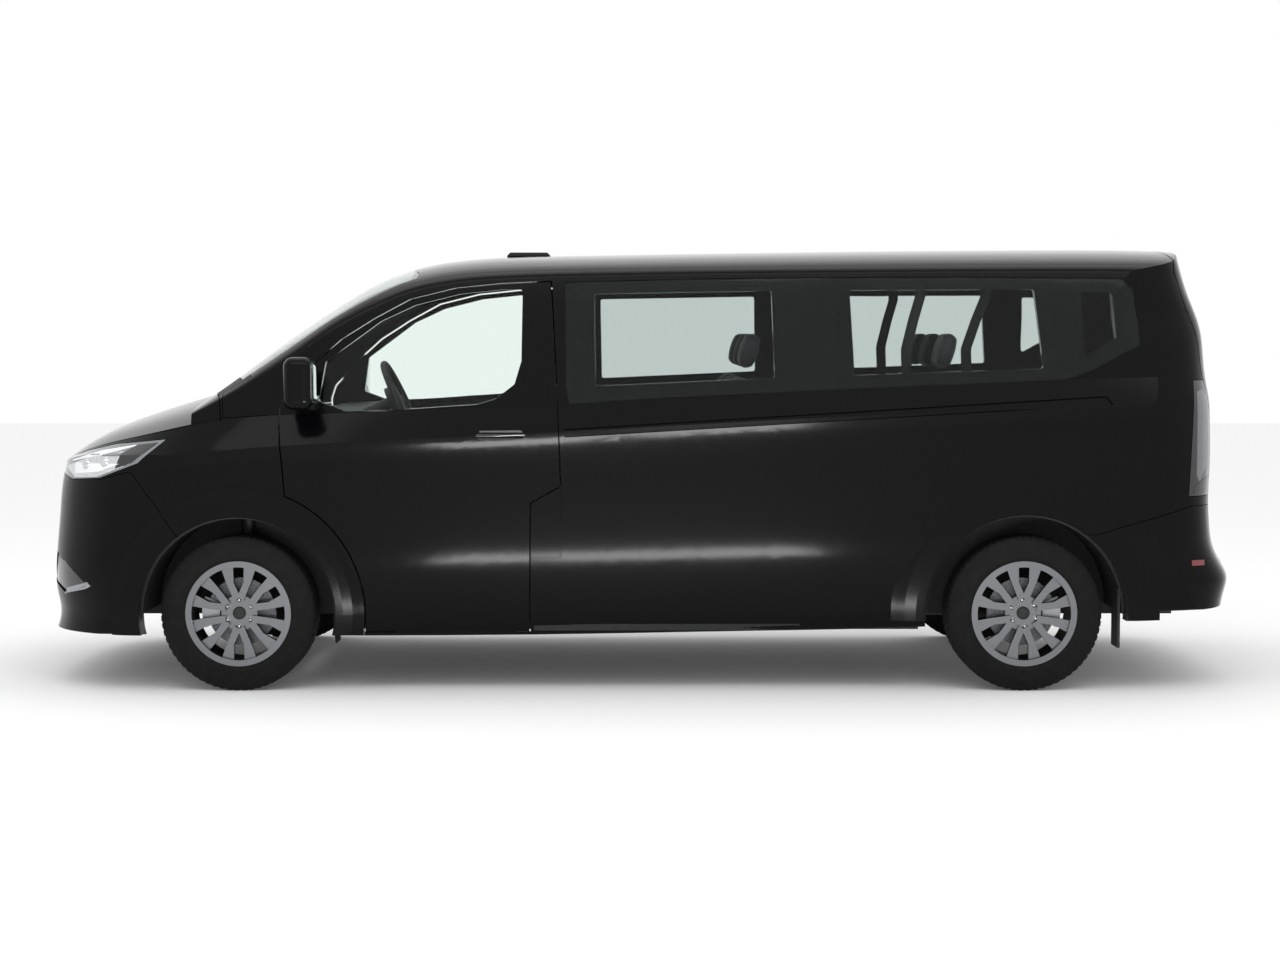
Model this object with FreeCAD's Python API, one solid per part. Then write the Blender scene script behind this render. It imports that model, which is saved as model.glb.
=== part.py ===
"""Long wheelbase passenger minibus, built as separate solids in one frame.

Millimetres. +X runs rearward, -Y is the vehicle's left side, +Z is up. The origin lies on
the ground under the middle of the bounding box.
"""
import FreeCAD, Part
import math
import os
from collections import namedtuple
from FreeCAD import Vector

os.makedirs("parts", exist_ok=True)

# Overall sizes
LENGTH = 5450.0
HEIGHT = 1985.0
HALF_WIDTH = 1016.0
WHEELBASE = 3500.0
FRONT_OVERHANG = 943.0
TRACK = 1740.0

# Wheels
TYRE_RADIUS = 345.0
TYRE_WIDTH = 215.0
RIM_FLANGE_RADIUS = 235.0
RIM_WIDTH = 190.0
RIM_WALL = 9.0
RIM_FLANGE_DEPTH = 18.0
RIM_FACE_OFFSET = 74.0
RIM_PAD_OFFSET = 25.0
HUB_PAD_RADIUS = 80.0
HUB_BORE_RADIUS = 36.0
SPOKE_DEPTH = 30.0
SPOKE_GROUPS = 6
DISC_RADIUS = 152.0
DISC_THICKNESS = 28.0
DISC_BELL_RADIUS = 82.0
DISC_BELL_WALL = 8.0
CALIPER_CLEARANCE = 6.0
CALIPER_WALL = 16.0
CALIPER_HALF_ANGLE = 24.0
STEER_OFFSET = 62.0

# Wheel arches
FRONT_ARCH_RADIUS = 433.0
REAR_ARCH_RADIUS = 443.0
FRONT_FLARE_RADIUS = 565.0
REAR_FLARE_RADIUS = 598.0
FLARE_STAND = 18.0
FLARE_LIFT = 9.0
ARCH_INNER_HALF_WIDTH = 545.0
LINER_WALL = 8.0

# Shell
SIDE_WALL = 62.0
PILLAR_WALL = 46.0
TOP_WALL = 36.0
FLOOR_DROP = 60.0
END_WALL = 58.0
GLASS = 5.0
SEAT_GAP = 0.3
SHUT_GAP = 6.0
PANEL_GAP = 3.0
DOOR_REBATE_DEPTH = 20.0
DOOR_REBATE = 16.0
WAIST_STEP = 5.0
WINDOW_CORNER = 12.0

FRONT_AXLE_X = -LENGTH / 2 + FRONT_OVERHANG
REAR_AXLE_X = FRONT_AXLE_X + WHEELBASE
HUB_Z = TYRE_RADIUS
WHEEL_Y = TRACK / 2

# Side view lines: each point is a share of the length and a share of the height
sill_line_shares = [(-0.5064, 0.1270), (-0.2451, 0.1229), (0.2378, 0.1441), (0.4002, 0.1733),
                    (0.4991, 0.1874)]
crease_line_shares = [(-0.5064, 0.4861), (-0.4061, 0.5239), (-0.2917, 0.5511),
                      (-0.0651, 0.5819), (0.1807, 0.6186), (0.3807, 0.6388),
                      (0.4991, 0.6509)]
waist_line_shares = [(-0.5064, 0.4484), (-0.4870, 0.4962), (-0.4571, 0.5380),
                     (-0.4275, 0.5602), (-0.3919, 0.5819), (-0.3394, 0.6106),
                     (-0.2752, 0.6207), (-0.0651, 0.6428), (0.1675, 0.6761),
                     (0.3473, 0.6977), (0.4991, 0.7113)]
bonnet_line_shares = [(-0.5064, 0.4685), (-0.4936, 0.4997), (-0.4870, 0.5149),
                      (-0.4741, 0.5441), (-0.4571, 0.5733), (-0.4275, 0.6060),
                      (-0.3919, 0.6378), (-0.3650, 0.6569), (-0.3394, 0.6725),
                      (-0.2752, 0.6800), (-0.0651, 0.6850), (0.4991, 0.7350)]
cant_line_shares = [(-0.3670, 0.6171), (-0.3486, 0.6408), (-0.3217, 0.6801),
                    (-0.2800, 0.7531), (-0.2534, 0.8050), (-0.2183, 0.8564),
                    (-0.1928, 0.8877), (-0.1560, 0.9118), (-0.1174, 0.9219),
                    (-0.0710, 0.9270), (0.0917, 0.9340), (0.2385, 0.9370),
                    (0.3466, 0.9380), (0.4404, 0.9360), (0.4991, 0.9310)]
roof_line_shares = [(-0.3688, 0.6423), (-0.3400, 0.7028), (-0.2983, 0.7909),
                    (-0.2567, 0.8680), (-0.2367, 0.9023), (-0.2161, 0.9320),
                    (-0.1954, 0.9521), (-0.1743, 0.9657), (-0.1468, 0.9763),
                    (-0.1101, 0.9829), (-0.0317, 0.9874), (0.0917, 0.9929),
                    (0.2385, 0.9980), (0.3486, 1.0000), (0.4235, 0.9990),
                    (0.4495, 0.9955), (0.4991, 0.9824)]

# Plan lines: share of the length, share of the half width
widest_line_shares = [(-0.5064, 0.9550), (-0.3670, 0.9730), (-0.2752, 0.9780),
                      (-0.1468, 0.9830), (0.0000, 0.9850), (0.2752, 0.9850),
                      (0.4220, 0.9800), (0.4991, 0.9700)]
waist_width_shares = [(-0.5064, 0.4724), (-0.4870, 0.5906), (-0.4571, 0.7185),
                      (-0.4275, 0.7923), (-0.3919, 0.8484), (-0.3394, 0.8907),
                      (-0.2752, 0.9160), (-0.1284, 0.9370), (0.0000, 0.9420),
                      (0.2752, 0.9400), (0.4220, 0.9290), (0.4991, 0.9154)]

# Lower body section: share of the widest half width, share of the way from sill to crease
lower_section_shares = [(0.972, 0.08), (0.993, 0.26), (1.000, 0.44), (0.992, 0.70),
                        (0.986, 0.88)]
sill_width_share = 0.935
crease_width_share = 0.994
top_mid_shares = [(0.80, 0.40), (0.50, 0.76)]

# Greenhouse section
glass_lean_share = 0.262
glass_bulge_share = 0.010
roof_curve_shares = [0.992, 0.965, 0.90, 0.78, 0.60, 0.32]
roof_power_share = 2.4
roof_root_share = 0.56

# Ends: height share to length share, and half width share to setback share
nose_line_shares = [(0.060, -0.4950), (0.168, -0.4965), (0.236, -0.5000), (0.300, -0.4990),
                    (0.370, -0.4967), (0.450, -0.4940), (0.500, -0.4905), (0.560, -0.4860),
                    (0.700, -0.4850), (1.060, -0.4850)]
nose_bow_shares = [(0.0, 0.0), (0.35, 0.0022), (0.59, 0.0088), (0.69, 0.0155),
                   (0.787, 0.0280), (0.886, 0.0510), (0.945, 0.0830), (1.0, 0.150),
                   (1.04, 0.260)]
tail_line_shares = [(0.060, 0.4900), (0.180, 0.4950), (0.236, 0.4993), (0.260, 0.4981),
                    (0.300, 0.4900), (0.345, 0.4850), (0.430, 0.4830), (0.520, 0.4840),
                    (0.630, 0.4835), (0.720, 0.4800), (0.790, 0.4790), (0.880, 0.4700),
                    (0.925, 0.4645), (0.970, 0.4600), (1.060, 0.4560)]
tail_width_shares = [(0.060, 0.960), (0.450, 0.985), (0.640, 0.975), (0.715, 0.930),
                     (0.925, 0.815), (1.060, 0.800)]
tail_bow_shares = [(0.0, 0.0), (0.50, 0.0035), (0.72, 0.0085), (0.84, 0.0150),
                   (0.92, 0.0265), (0.97, 0.0440), (1.01, 0.0780), (1.06, 0.170)]

# Lengthwise stations of the two lofts
lower_station_shares = [-0.506, -0.497, -0.487, -0.474, -0.457, -0.4275, -0.392, -0.339,
                        -0.275, -0.180, -0.065, 0.09, 0.24, 0.35, 0.43, 0.510]
upper_station_shares = [-0.3665, -0.352, -0.336, -0.310, -0.283, -0.256, -0.236, -0.216,
                        -0.195, -0.174, -0.147, -0.110, -0.060, 0.015, 0.12, 0.24, 0.35,
                        0.43, 0.510]

# Panel outlines in the side view
door_outline_shares = [(-0.2923, 0.6300), (-0.2880, 0.6640), (-0.2640, 0.7350),
                       (-0.2430, 0.7860), (-0.2160, 0.8330), (-0.1870, 0.8760),
                       (-0.1500, 0.9010), (-0.1130, 0.9115), (-0.0720, 0.9170),
                       (-0.0662, 0.6418), (-0.0637, 0.4625), (-0.0883, 0.4247),
                       (-0.0892, 0.1345), (-0.2600, 0.1345), (-0.2838, 0.3650),
                       (-0.2859, 0.3985), (-0.2923, 0.6015)]
door_glass_shares = [(-0.2560, 0.7380), (-0.2110, 0.8290), (-0.1830, 0.8650),
                     (-0.1464, 0.8900), (-0.1114, 0.9000), (-0.0950, 0.9000),
                     (-0.0955, 0.7400), (-0.1010, 0.6880), (-0.1160, 0.6560),
                     (-0.1314, 0.6430), (-0.2075, 0.6290), (-0.2391, 0.6270),
                     (-0.2610, 0.6500)]
band_outline_shares = [(-0.0600, 0.9160), (0.0600, 0.9240), (0.1607, 0.9270),
                       (0.2800, 0.9270), (0.3970, 0.9240), (0.4060, 0.9000),
                       (0.4090, 0.7770), (0.3692, 0.7200), (0.3473, 0.6998),
                       (0.1675, 0.6785), (0.0300, 0.6600), (-0.0560, 0.6450),
                       (-0.0590, 0.6720)]
band_split_x_share = 0.1640
first_opening_shares = [(-0.0360, 0.8900), (0.1090, 0.8970), (0.1110, 0.7020),
                        (-0.0350, 0.6840)]
second_opening_shares = [(0.1730, 0.8980), (0.3240, 0.9000), (0.3300, 0.7230),
                         (0.1760, 0.7080)]
third_opening_shares = [(0.3620, 0.8950), (0.3880, 0.8930), (0.3900, 0.7900),
                        (0.3640, 0.7500)]
flap_outline_shares = [(-0.0634, 0.4560), (-0.0634, 0.3040), (-0.0884, 0.3040),
                       (-0.0884, 0.4190)]
sliding_outline_shares = [(-0.0560, 0.9120), (0.1560, 0.9200), (0.1640, 0.4700),
                          (0.1660, 0.1500), (-0.0840, 0.1400), (-0.0820, 0.4200),
                          (-0.0560, 0.4620)]
bumper_top_shares = [(-0.5100, 0.5058), (-0.4920, 0.5058), (-0.4690, 0.4740),
                     (-0.4390, 0.4740),
                     (-0.4180, 0.4900), (-0.4136, 0.4900), (-0.3730, 0.3420)]
rear_bumper_shares = [(0.3520, 0.3530), (0.3720, 0.3530), (0.4514, 0.4146),
                      (0.5100, 0.4146)]
lamp_outline_shares = [(-0.5080, 0.5050), (-0.4690, 0.4720), (-0.4410, 0.4780),
                       (-0.4080, 0.5120), (-0.3860, 0.5640), (-0.4300, 0.5520),
                       (-0.4550, 0.5360), (-0.4740, 0.5190), (-0.4900, 0.5060)]
tail_lamp_shares = [(0.4490, 0.4380), (0.4540, 0.6960), (0.5100, 0.6960), (0.5100, 0.4380)]

# Outlines across the body: share of the half width, share of the height
screen_outline_shares = [(0.79, 0.6650), (0.785, 0.7000), (0.765, 0.8000), (0.735, 0.8900),
                         (0.690, 0.9330), (0.35, 0.9520), (0.0, 0.9560)]
screen_bottom_shares = [(0.0, 0.6000), (0.79, 0.6000)]
tailgate_outline_shares = [(0.70, 1.02), (0.715, 0.92), (0.765, 0.80), (0.800, 0.70),
                           (0.805, 0.44), (0.770, 0.30)]
tail_glass_shares = [(0.640, 0.9300), (0.690, 0.8200), (0.715, 0.7250), (0.690, 0.7050)]
roof_side_share = 0.695
roof_front_share = -0.1890
tailgate_top_share = 0.4440
bonnet_rear_share = -0.3420
bonnet_rear_bow_share = 0.0230
bonnet_front_share = 0.5060
grille_outline_shares = [(0.50, 0.5058), (0.47, 0.3960), (0.0, 0.3880)]
rail_outline_shares = [(-0.0600, 0.5700), (-0.0600, 0.5890), (0.3800, 0.6620),
                       (0.3850, 0.6430)]
RAIL_GROOVE = 10.0
bar_level_shares = [0.4060, 0.4260, 0.4460, 0.4660, 0.4860]
bar_half_share = 0.46
BAR_HEIGHT = 16.0
BAR_STAND = 9.0
INTAKE_DEPTH = 22.0
FOG_DEPTH = 16.0
handle_outline_shares = [(-0.1345, 0.5700), (-0.0880, 0.5730), (-0.0880, 0.5810),
                         (-0.1345, 0.5800)]
HANDLE_STAND = 26.0
HANDLE_WALL = 12.0
HANDLE_FOOT = 22.0
MUD_FLAP = Vector(12.0, 140.0, 264.0)
MUD_FLAP_BOTTOM = 192.0
MUD_FLAP_SET = 16.0
intake_outline_shares = [(0.0, 0.2900), (0.44, 0.2900), (0.40, 0.1980), (0.0, 0.1960)]
fog_outline_shares = [(-0.4880, 0.3020), (-0.4770, 0.2850), (-0.4530, 0.2330),
                      (-0.4770, 0.2120), (-0.4935, 0.2370)]

tyre_section_shares = [(0.80, 0.0), (0.90, 0.14), (1.0, 0.46), (0.97, 0.70), (0.89, 0.90),
                       (0.80, 0.975), (0.55, 1.0), (0.0, 1.0)]
spoke_outline_shares = [(0.28, 0.045), (0.28, 0.20), (0.62, 0.235), (0.88, 0.38),
                        (1.01, 0.42), (1.01, 0.16), (0.72, 0.105)]
caliper_reach_share = 0.62
HUB_DISH = 16.0
HUB_CAP_DEPTH = 20.0
DISC_BELL_DEPTH = 30.0
CARRIER_RADIUS = 70.0
CARRIER_THICKNESS = 24.0
CARRIER_ARM = 60.0
liner_width_share = 0.945
bonnet_edge_shares = [-0.506, -0.499, -0.492, -0.484, -0.474, -0.457, -0.4275, -0.392,
                      -0.365]
sliver_share = 0.004
panel_overlap_share = 0.002
flare_root_share = 0.92
flare_profile_shares = [(0.0, 0.75), (0.06, 1.0), (0.30, 0.88), (0.62, 0.42), (0.88, -0.25),
                        (1.0, -0.55)]
wing_outline_shares = [(-0.52, 0.20), (-0.52, 0.70), (-0.3420, 0.70), (-0.3400, 0.6110),
                       (-0.2923, 0.6190), (-0.2923, 0.6015),
                       (-0.2859, 0.3985), (-0.2838, 0.3650), (-0.2838, 0.20)]
cowl_width_share = 0.0200
cowl_side_share = 0.82
cowl_bottom_share = 0.5900
lamp_inner_share = 0.505
GRILLE_RECESS = 12.0
GRILLE_REAR = 2400.0
LUG_SIZE = 15.0
lamp_lug_share = (-0.3970, 0.5380)
tail_lug_share = (0.4515, 0.5670)
grille_lug_share = (-0.4862, 0.3950)
ledge_front_share = -0.0550
STOP_RADIUS = 12.0
STOP_HEIGHT = 40.0
stop_x_share = 0.4760
stop_y_share = 0.50
SEAL_ROOT = 8.0
strip_front_share = -0.200
strip_rear_share = -0.100
strip_outer_share = 0.940
strip_inner_share = 0.900
SCREEN_FLANGE = 34.0
SCREEN_REAR = 1000.0

# Cabin
FLOOR_TOP = 470.0
FLOOR_THICKNESS = 60.0
FLOOR_HALF_WIDTH = 840.0
ROCKER_WIDTH = 110.0
ROCKER_BOTTOM = 262.0
BULKHEAD_THICKNESS = 20.0
BULKHEAD_TOP = 1150.0
BULKHEAD_HALF_WIDTH = 820.0
DASH_HALF_WIDTH = 835.0
SEAT_WIDTH = 490.0
SEAT_PITCH = 540.0
BENCH_SEATS = 3
SEAT_DEPTH = 480.0
SEAT_THICKNESS = 110.0
SEAT_BASE_HEIGHT = 310.0
SEAT_BASE_WIDTH = 400.0
BACK_HEIGHT = 610.0
BACK_THICKNESS = 100.0
BACK_LEAN = 16.0
HEADREST_WIDTH = 260.0
HEADREST_HEIGHT = 170.0
HEADREST_THICKNESS = 80.0
HEADREST_GAP = 20.0
SEAT_CORNER = 30.0
STEERING_RADIUS = 190.0
STEERING_RIM = 16.0
STEERING_TILT = 25.0
STEERING_HUB_RADIUS = 70.0
STEERING_HUB_DEPTH = 50.0
STEERING_Z = 1290.0
COLUMN_RADIUS = 28.0
COLUMN_LENGTH = 215.0
SPOKE_WIDTH = 34.0
front_seat_x_share = -0.0890
second_row_x_share = 0.0550
third_row_x_share = 0.2200
steering_x_share = -0.2037
driver_y_share = 0.400
bulkhead_x_share = -0.2890
dash_profile_shares = [(0.0, 0.0), (0.0, 0.26), (0.06, 0.30), (0.42, 0.305), (0.62, 0.27),
                       (0.72, 0.19), (0.60, 0.10), (0.40, 0.0)]
dash_base_share = 0.402
dash_scale_share = 0.115
dash_rise_share = 0.73

# Underbody
ENGINE_SIZE = Vector(560.0, 640.0, 520.0)
TANK_SIZE = Vector(900.0, 420.0, 130.0)
EXHAUST_RADIUS = 28.0
EXHAUST_Z = 250.0
HANGER_WIDTH = 30.0
HANGER_THICKNESS = 8.0
hanger_x_shares = [-0.180, 0.000, 0.160, 0.270, 0.400]
EXHAUST_Y = 330.0
MUFFLER_RADIUS = 62.0
MUFFLER_LENGTH = 520.0
SUBFRAME_HALF_WIDTH = 420.0
SUBFRAME_DEPTH = 330.0
SUBFRAME_THICKNESS = 70.0
KINGPIN_RADIUS = 14.0
KINGPIN_BOSS = 24.0
KINGPIN_LENGTH = 80.0
ARM_TIP = 20.0
ARM_WIDTH = 60.0
ARM_THICKNESS = 26.0
STRUT_Y = 650.0
STRUT_RADIUS = 32.0
AXLE_RADIUS = 42.0
AXLE_HALF_WIDTH = 790.0
TRAILING_ARM = Vector(480.0, 60.0, 90.0)
RAIL_SIZE = Vector(70.0, 80.0, 120.0)
RAIL_Y = 480.0
rail_front_share = -0.455
rail_rear_share = 0.455
engine_x_share = -0.395
tank_x_share = 0.000
exhaust_front_share = -0.240
exhaust_rear_share = 0.420
muffler_x_share = 0.210

# Outside fittings
MIRROR_SIZE = Vector(132.0, 172.0, 232.0)
MIRROR_CORNER = 44.0
MIRROR_FRONT_X = -1552.0
MIRROR_OUTER_Y = 1137.5
MIRROR_BOTTOM = 1256.0
MIRROR_FOOT = Vector(110.0, 130.0, 60.0)
POD_LENGTH = 207.0
POD_WIDTH = 130.0
POD_HEIGHT = 30.0
pod_x_share = -0.0965

Walls = namedtuple("Walls", "side pillar top drop end")
OUTER = Walls(0, 0, 0, 0, 0)
INNER = Walls(SIDE_WALL, PILLAR_WALL, TOP_WALL, FLOOR_DROP, END_WALL)
UNDER_GLASS = Walls(GLASS, GLASS, GLASS, 0, GLASS)


def read_line(line, share):
    """Smooth value of a line of points at one share, straight on past its ends."""
    count = len(line)
    spans = [line[i + 1][0] - line[i][0] for i in range(count - 1)]
    rises = [(line[i + 1][1] - line[i][1]) / spans[i] for i in range(count - 1)]
    slopes = [rises[0]]
    for i in range(1, count - 1):
        if rises[i - 1] * rises[i] <= 0:
            slopes.append(0)
        else:
            near = 2 * spans[i] + spans[i - 1]
            far = spans[i] + 2 * spans[i - 1]
            slopes.append((near + far) / (near / rises[i - 1] + far / rises[i]))
    slopes.append(rises[-1])
    if share <= line[0][0]:
        return line[0][1] + slopes[0] * (share - line[0][0])
    if share >= line[-1][0]:
        return line[-1][1] + slopes[-1] * (share - line[-1][0])
    i = 0
    while share > line[i + 1][0]:
        i += 1
    t = (share - line[i][0]) / spans[i]
    start = (1 + 2 * t) * (1 - t) ** 2 * line[i][1] + t * (1 - t) ** 2 * spans[i] * slopes[i]
    end = t * t * (3 - 2 * t) * line[i + 1][1] - t * t * (1 - t) * spans[i] * slopes[i + 1]
    return start + end


def curve(points):
    """Edge through the points: a line for two, a spline for more."""
    if len(points) == 2:
        return Part.makeLine(points[0], points[1])
    knots = [i / (len(points) - 1) for i in range(len(points))]
    spline = Part.BSplineCurve()
    spline.interpolate(Points=points, Parameters=knots)
    return spline.toShape()


def mirrored(points):
    """The points on the other side of the middle plane, in turned order."""
    return [Vector(p.x, -p.y, p.z) for p in reversed(points)]


def lower_section(share, walls):
    """Closed section of the body below the waist, shrunk inward by the walls."""
    side, top, drop = walls.side, walls.top, walls.drop
    x = share * LENGTH
    bottom = read_line(sill_line_shares, share) * HEIGHT - drop
    crease = read_line(crease_line_shares, share) * HEIGHT
    waist = read_line(waist_line_shares, share) * HEIGHT
    crease = min(crease, waist - WAIST_STEP)
    crown = max(read_line(bonnet_line_shares, share) * HEIGHT, waist + WAIST_STEP)
    widest = read_line(widest_line_shares, share) * HALF_WIDTH
    waist_width = read_line(waist_width_shares, share) * HALF_WIDTH - side
    lower = [Vector(x, sill_width_share * widest - side, bottom)]
    for wide, high in lower_section_shares:
        lower.append(Vector(x, wide * widest - side, bottom + high * (crease - bottom)))
    crease_point = Vector(x, crease_width_share * widest - side, crease)
    waist_point = Vector(x, waist_width, waist - top)
    upper = [crease_point, waist_point]
    lower.append(crease_point)
    rise = crown - waist
    half_top = [waist_point]
    for wide, high in top_mid_shares:
        half_top.append(Vector(x, wide * waist_width, waist + high * rise - top))
    crown_point = Vector(x, 0, crown - top)
    top_line = half_top + [crown_point] + mirrored(half_top)
    edges = [curve(mirrored(lower[:1]) + lower[:1]), curve(lower), curve(upper)]
    edges += [curve(top_line), curve(mirrored(upper)), curve(mirrored(lower))]
    return Part.Wire(edges)


def upper_section(share, walls):
    """Closed section of the glazed upper body, shrunk inward by the walls."""
    side, top = walls.pillar, walls.top
    x = share * LENGTH
    waist = read_line(waist_line_shares, share) * HEIGHT
    waist_width = read_line(waist_width_shares, share) * HALF_WIDTH - WAIST_STEP
    cant = read_line(cant_line_shares, share) * HEIGHT
    crown = read_line(roof_line_shares, share) * HEIGHT
    rise = cant - waist
    cant_width = waist_width - glass_lean_share * rise - side
    bulge = glass_bulge_share * rise
    base_point = Vector(x, waist_width - side, waist - 2 * SIDE_WALL)
    waist_point = Vector(x, waist_width - side, waist)
    middle = Vector(x, (waist_width - side + cant_width) / 2 + bulge, waist + rise / 2)
    cant_point = Vector(x, cant_width, cant - top)
    half_roof = [cant_point]
    for wide in roof_curve_shares:
        high = (1 - wide ** roof_power_share) ** roof_root_share
        half_roof.append(Vector(x, wide * cant_width, cant + high * (crown - cant) - top))
    roof = half_roof + [Vector(x, 0, crown - top)] + mirrored(half_roof)
    glass = [waist_point, middle, cant_point]
    edges = [curve([Vector(x, -base_point.y, base_point.z), base_point])]
    edges += [curve([base_point, waist_point]), curve(glass), curve(roof)]
    edges += [curve(mirrored(glass)), curve(mirrored([base_point, waist_point]))]
    return Part.Wire(edges)


def end_section(share, walls):
    """Plan outline at one height that bounds the nose and the tail."""
    z = share * HEIGHT
    nose = read_line(nose_line_shares, share) * LENGTH + walls.end
    tail = read_line(tail_line_shares, share) * LENGTH - walls.end
    tail_width = read_line(tail_width_shares, share) * HALF_WIDTH - walls.side
    nose_width = HALF_WIDTH - walls.side
    nose_half = [Vector(nose + back * LENGTH, wide * nose_width, z)
                 for wide, back in nose_bow_shares]
    tail_half = [Vector(tail - back * LENGTH, wide * tail_width, z)
                 for wide, back in tail_bow_shares]
    nose_line = mirrored(nose_half[1:]) + nose_half
    tail_line = list(reversed(tail_half)) + mirrored(list(reversed(tail_half[1:])))
    right = curve([nose_line[-1], tail_line[0]])
    left = curve([tail_line[-1], nose_line[0]])
    return Part.Wire([curve(nose_line), right, curve(tail_line), left])


def body_master(walls):
    """Whole body as one solid, shrunk inward by the walls."""
    lower = Part.makeLoft([lower_section(s, walls) for s in lower_station_shares], True)
    upper = Part.makeLoft([upper_section(s, walls) for s in upper_station_shares], True)
    levels = sorted(set([z for z, x in nose_line_shares] + [z for z, x in tail_line_shares]))
    ends = Part.makeLoft([end_section(z, walls) for z in levels], True)
    return lower.fuse(upper).common(ends)


# shared shapes

def box(low, high):
    """Box between two corners."""
    size = high - low
    return Part.makeBox(size.x, size.y, size.z, low)


def face_of(points, grow):
    """Flat face of a closed outline, grown outward."""
    face = Part.Face(Part.makePolygon(points + points[:1]))
    return face if grow == 0 else face.makeOffset2D(grow, 2)


def side_region(shares, side, grow=0):
    """Everything on one side of the vehicle within an outline in the side view."""
    points = [Vector(x * LENGTH, 0, z * HEIGHT) for x, z in shares]
    return face_of(points, grow).extrude(Vector(0, side * 2 * HALF_WIDTH, 0))


def through_region(shares, grow=0):
    """Everything within an outline in the side view, right across the vehicle."""
    points = [Vector(x * LENGTH, -2 * HALF_WIDTH, z * HEIGHT) for x, z in shares]
    return face_of(points, grow).extrude(Vector(0, 4 * HALF_WIDTH, 0))


def front_region(shares, x_low, x_high, grow=0):
    """Everything between two stations within a mirrored outline in the front view."""
    half = [Vector(x_low, y * HALF_WIDTH, z * HEIGHT) for y, z in shares]
    other = [p for p in mirrored(half) if p.y < 0]
    return face_of(half + other, grow).extrude(Vector(x_high - x_low, 0, 0))


def ring(radius, start, end, x, y, z):
    """Cylinder along Y about a hub."""
    return Part.makeCylinder(radius, end - start, Vector(x, start + y, z), Vector(0, 1, 0))


def revolved(profile, centre):
    """Solid turned about the Y axis through the centre from points of radius and depth."""
    points = [Vector(r, y, 0) for r, y in profile]
    face = Part.Face(Part.makePolygon(points + points[:1]))
    solid = face.revolve(Vector(0, 0, 0), Vector(0, 1, 0), 360)
    solid.translate(centre)
    return solid


def cleaned(shape):
    """The solids of a shape that are more than slivers."""
    largest = max(s.Volume for s in shape.Solids)
    solids = [s for s in shape.Solids if s.Volume > largest * sliver_share]
    return solids[0] if len(solids) == 1 else Part.makeCompound(solids)


def mirror(shape):
    """The same piece on the vehicle's other side."""
    return shape.mirror(Vector(0, 0, 0), Vector(0, 1, 0))


def export(name, shape):
    """Write one piece."""
    shape.exportStep("parts/" + name + ".step")


def rounded(prism, radius):
    """A prism across the vehicle with its crosswise edges rounded."""
    edges = [e for e in prism.Edges if e.BoundBox.YLength > HALF_WIDTH]
    return prism.makeFillet(radius, edges)


# wheel arches

def arch_cut(side):
    """Both wheel houses of one side, open inward to the liners."""
    start, end = sorted([side * ARCH_INNER_HALF_WIDTH, side * 2 * HALF_WIDTH])
    front = ring(FRONT_ARCH_RADIUS, start, end, FRONT_AXLE_X, 0, HUB_Z)
    rear = ring(REAR_ARCH_RADIUS, start, end, REAR_AXLE_X, 0, HUB_Z)
    return front.fuse(rear)


def flare(side, arch_radius, flare_radius, x):
    """Raised lip round one wheel arch, down to the sill."""
    profile = [(arch_radius, flare_root_share * HALF_WIDTH)]
    for reach, stand in flare_profile_shares:
        radius = arch_radius + reach * (flare_radius - arch_radius)
        profile.append((radius, HALF_WIDTH - (1 - stand) * FLARE_STAND))
    profile.append((flare_radius, flare_root_share * HALF_WIDTH))
    turned = revolved([(r, side * y) for r, y in profile], Vector(x, 0, HUB_Z))
    sill = read_line(sill_line_shares, x / LENGTH) * HEIGHT + FLARE_LIFT
    keep = box(Vector(x - flare_radius, -HALF_WIDTH, sill),
               Vector(x + flare_radius, HALF_WIDTH, sill + 2 * flare_radius))
    return turned.common(keep)


def all_flares():
    """Lips round the four wheel arches."""
    flares = []
    for side in (-1, 1):
        flares.append(flare(side, FRONT_ARCH_RADIUS, FRONT_FLARE_RADIUS, FRONT_AXLE_X))
        flares.append(flare(side, REAR_ARCH_RADIUS, REAR_FLARE_RADIUS, REAR_AXLE_X))
    return flares


def skin(bodies, region):
    """The part of the body shell within a region, with its share of the flares."""
    outer, inner, flares = bodies
    piece = outer.common(region).cut(inner)
    for lip in flares:
        if not lip.BoundBox.intersect(piece.BoundBox):
            continue
        share = lip.common(region)
        if share.Volume > 0:
            piece = piece.fuse(share)
            centre = lip.BoundBox.Center
            piece = piece.cut(arch_cut(math.copysign(1, centre.y)))
    return piece


def pane(outer, under, region):
    """Glass or thin lid that follows the outer surface within a region."""
    return outer.common(region).cut(under)


# regions that the panels take

def cowl_arc(back):
    """Bowed line across the vehicle, parallel to the bonnet's rear edge, as three points."""
    rear = bonnet_rear_share * LENGTH + back
    side_y = read_line(waist_width_shares, bonnet_rear_share) * HALF_WIDTH
    bow = bonnet_rear_bow_share * LENGTH
    return [Vector(rear, side_y, 0), Vector(rear - bow, 0, 0), Vector(rear, -side_y, 0)]


def behind_cowl(back):
    """Everything behind the bowed line."""
    right, middle, left = cowl_arc(back)
    far = [Vector(0, left.y, 0), Vector(0, right.y, 0)]
    edges = [Part.Arc(right, middle, left).toShape(), curve([left, far[0]])]
    edges += [curve(far), curve([far[1], right])]
    return Part.Face(Part.Wire(edges)).extrude(Vector(0, 0, 2 * HEIGHT))


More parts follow.
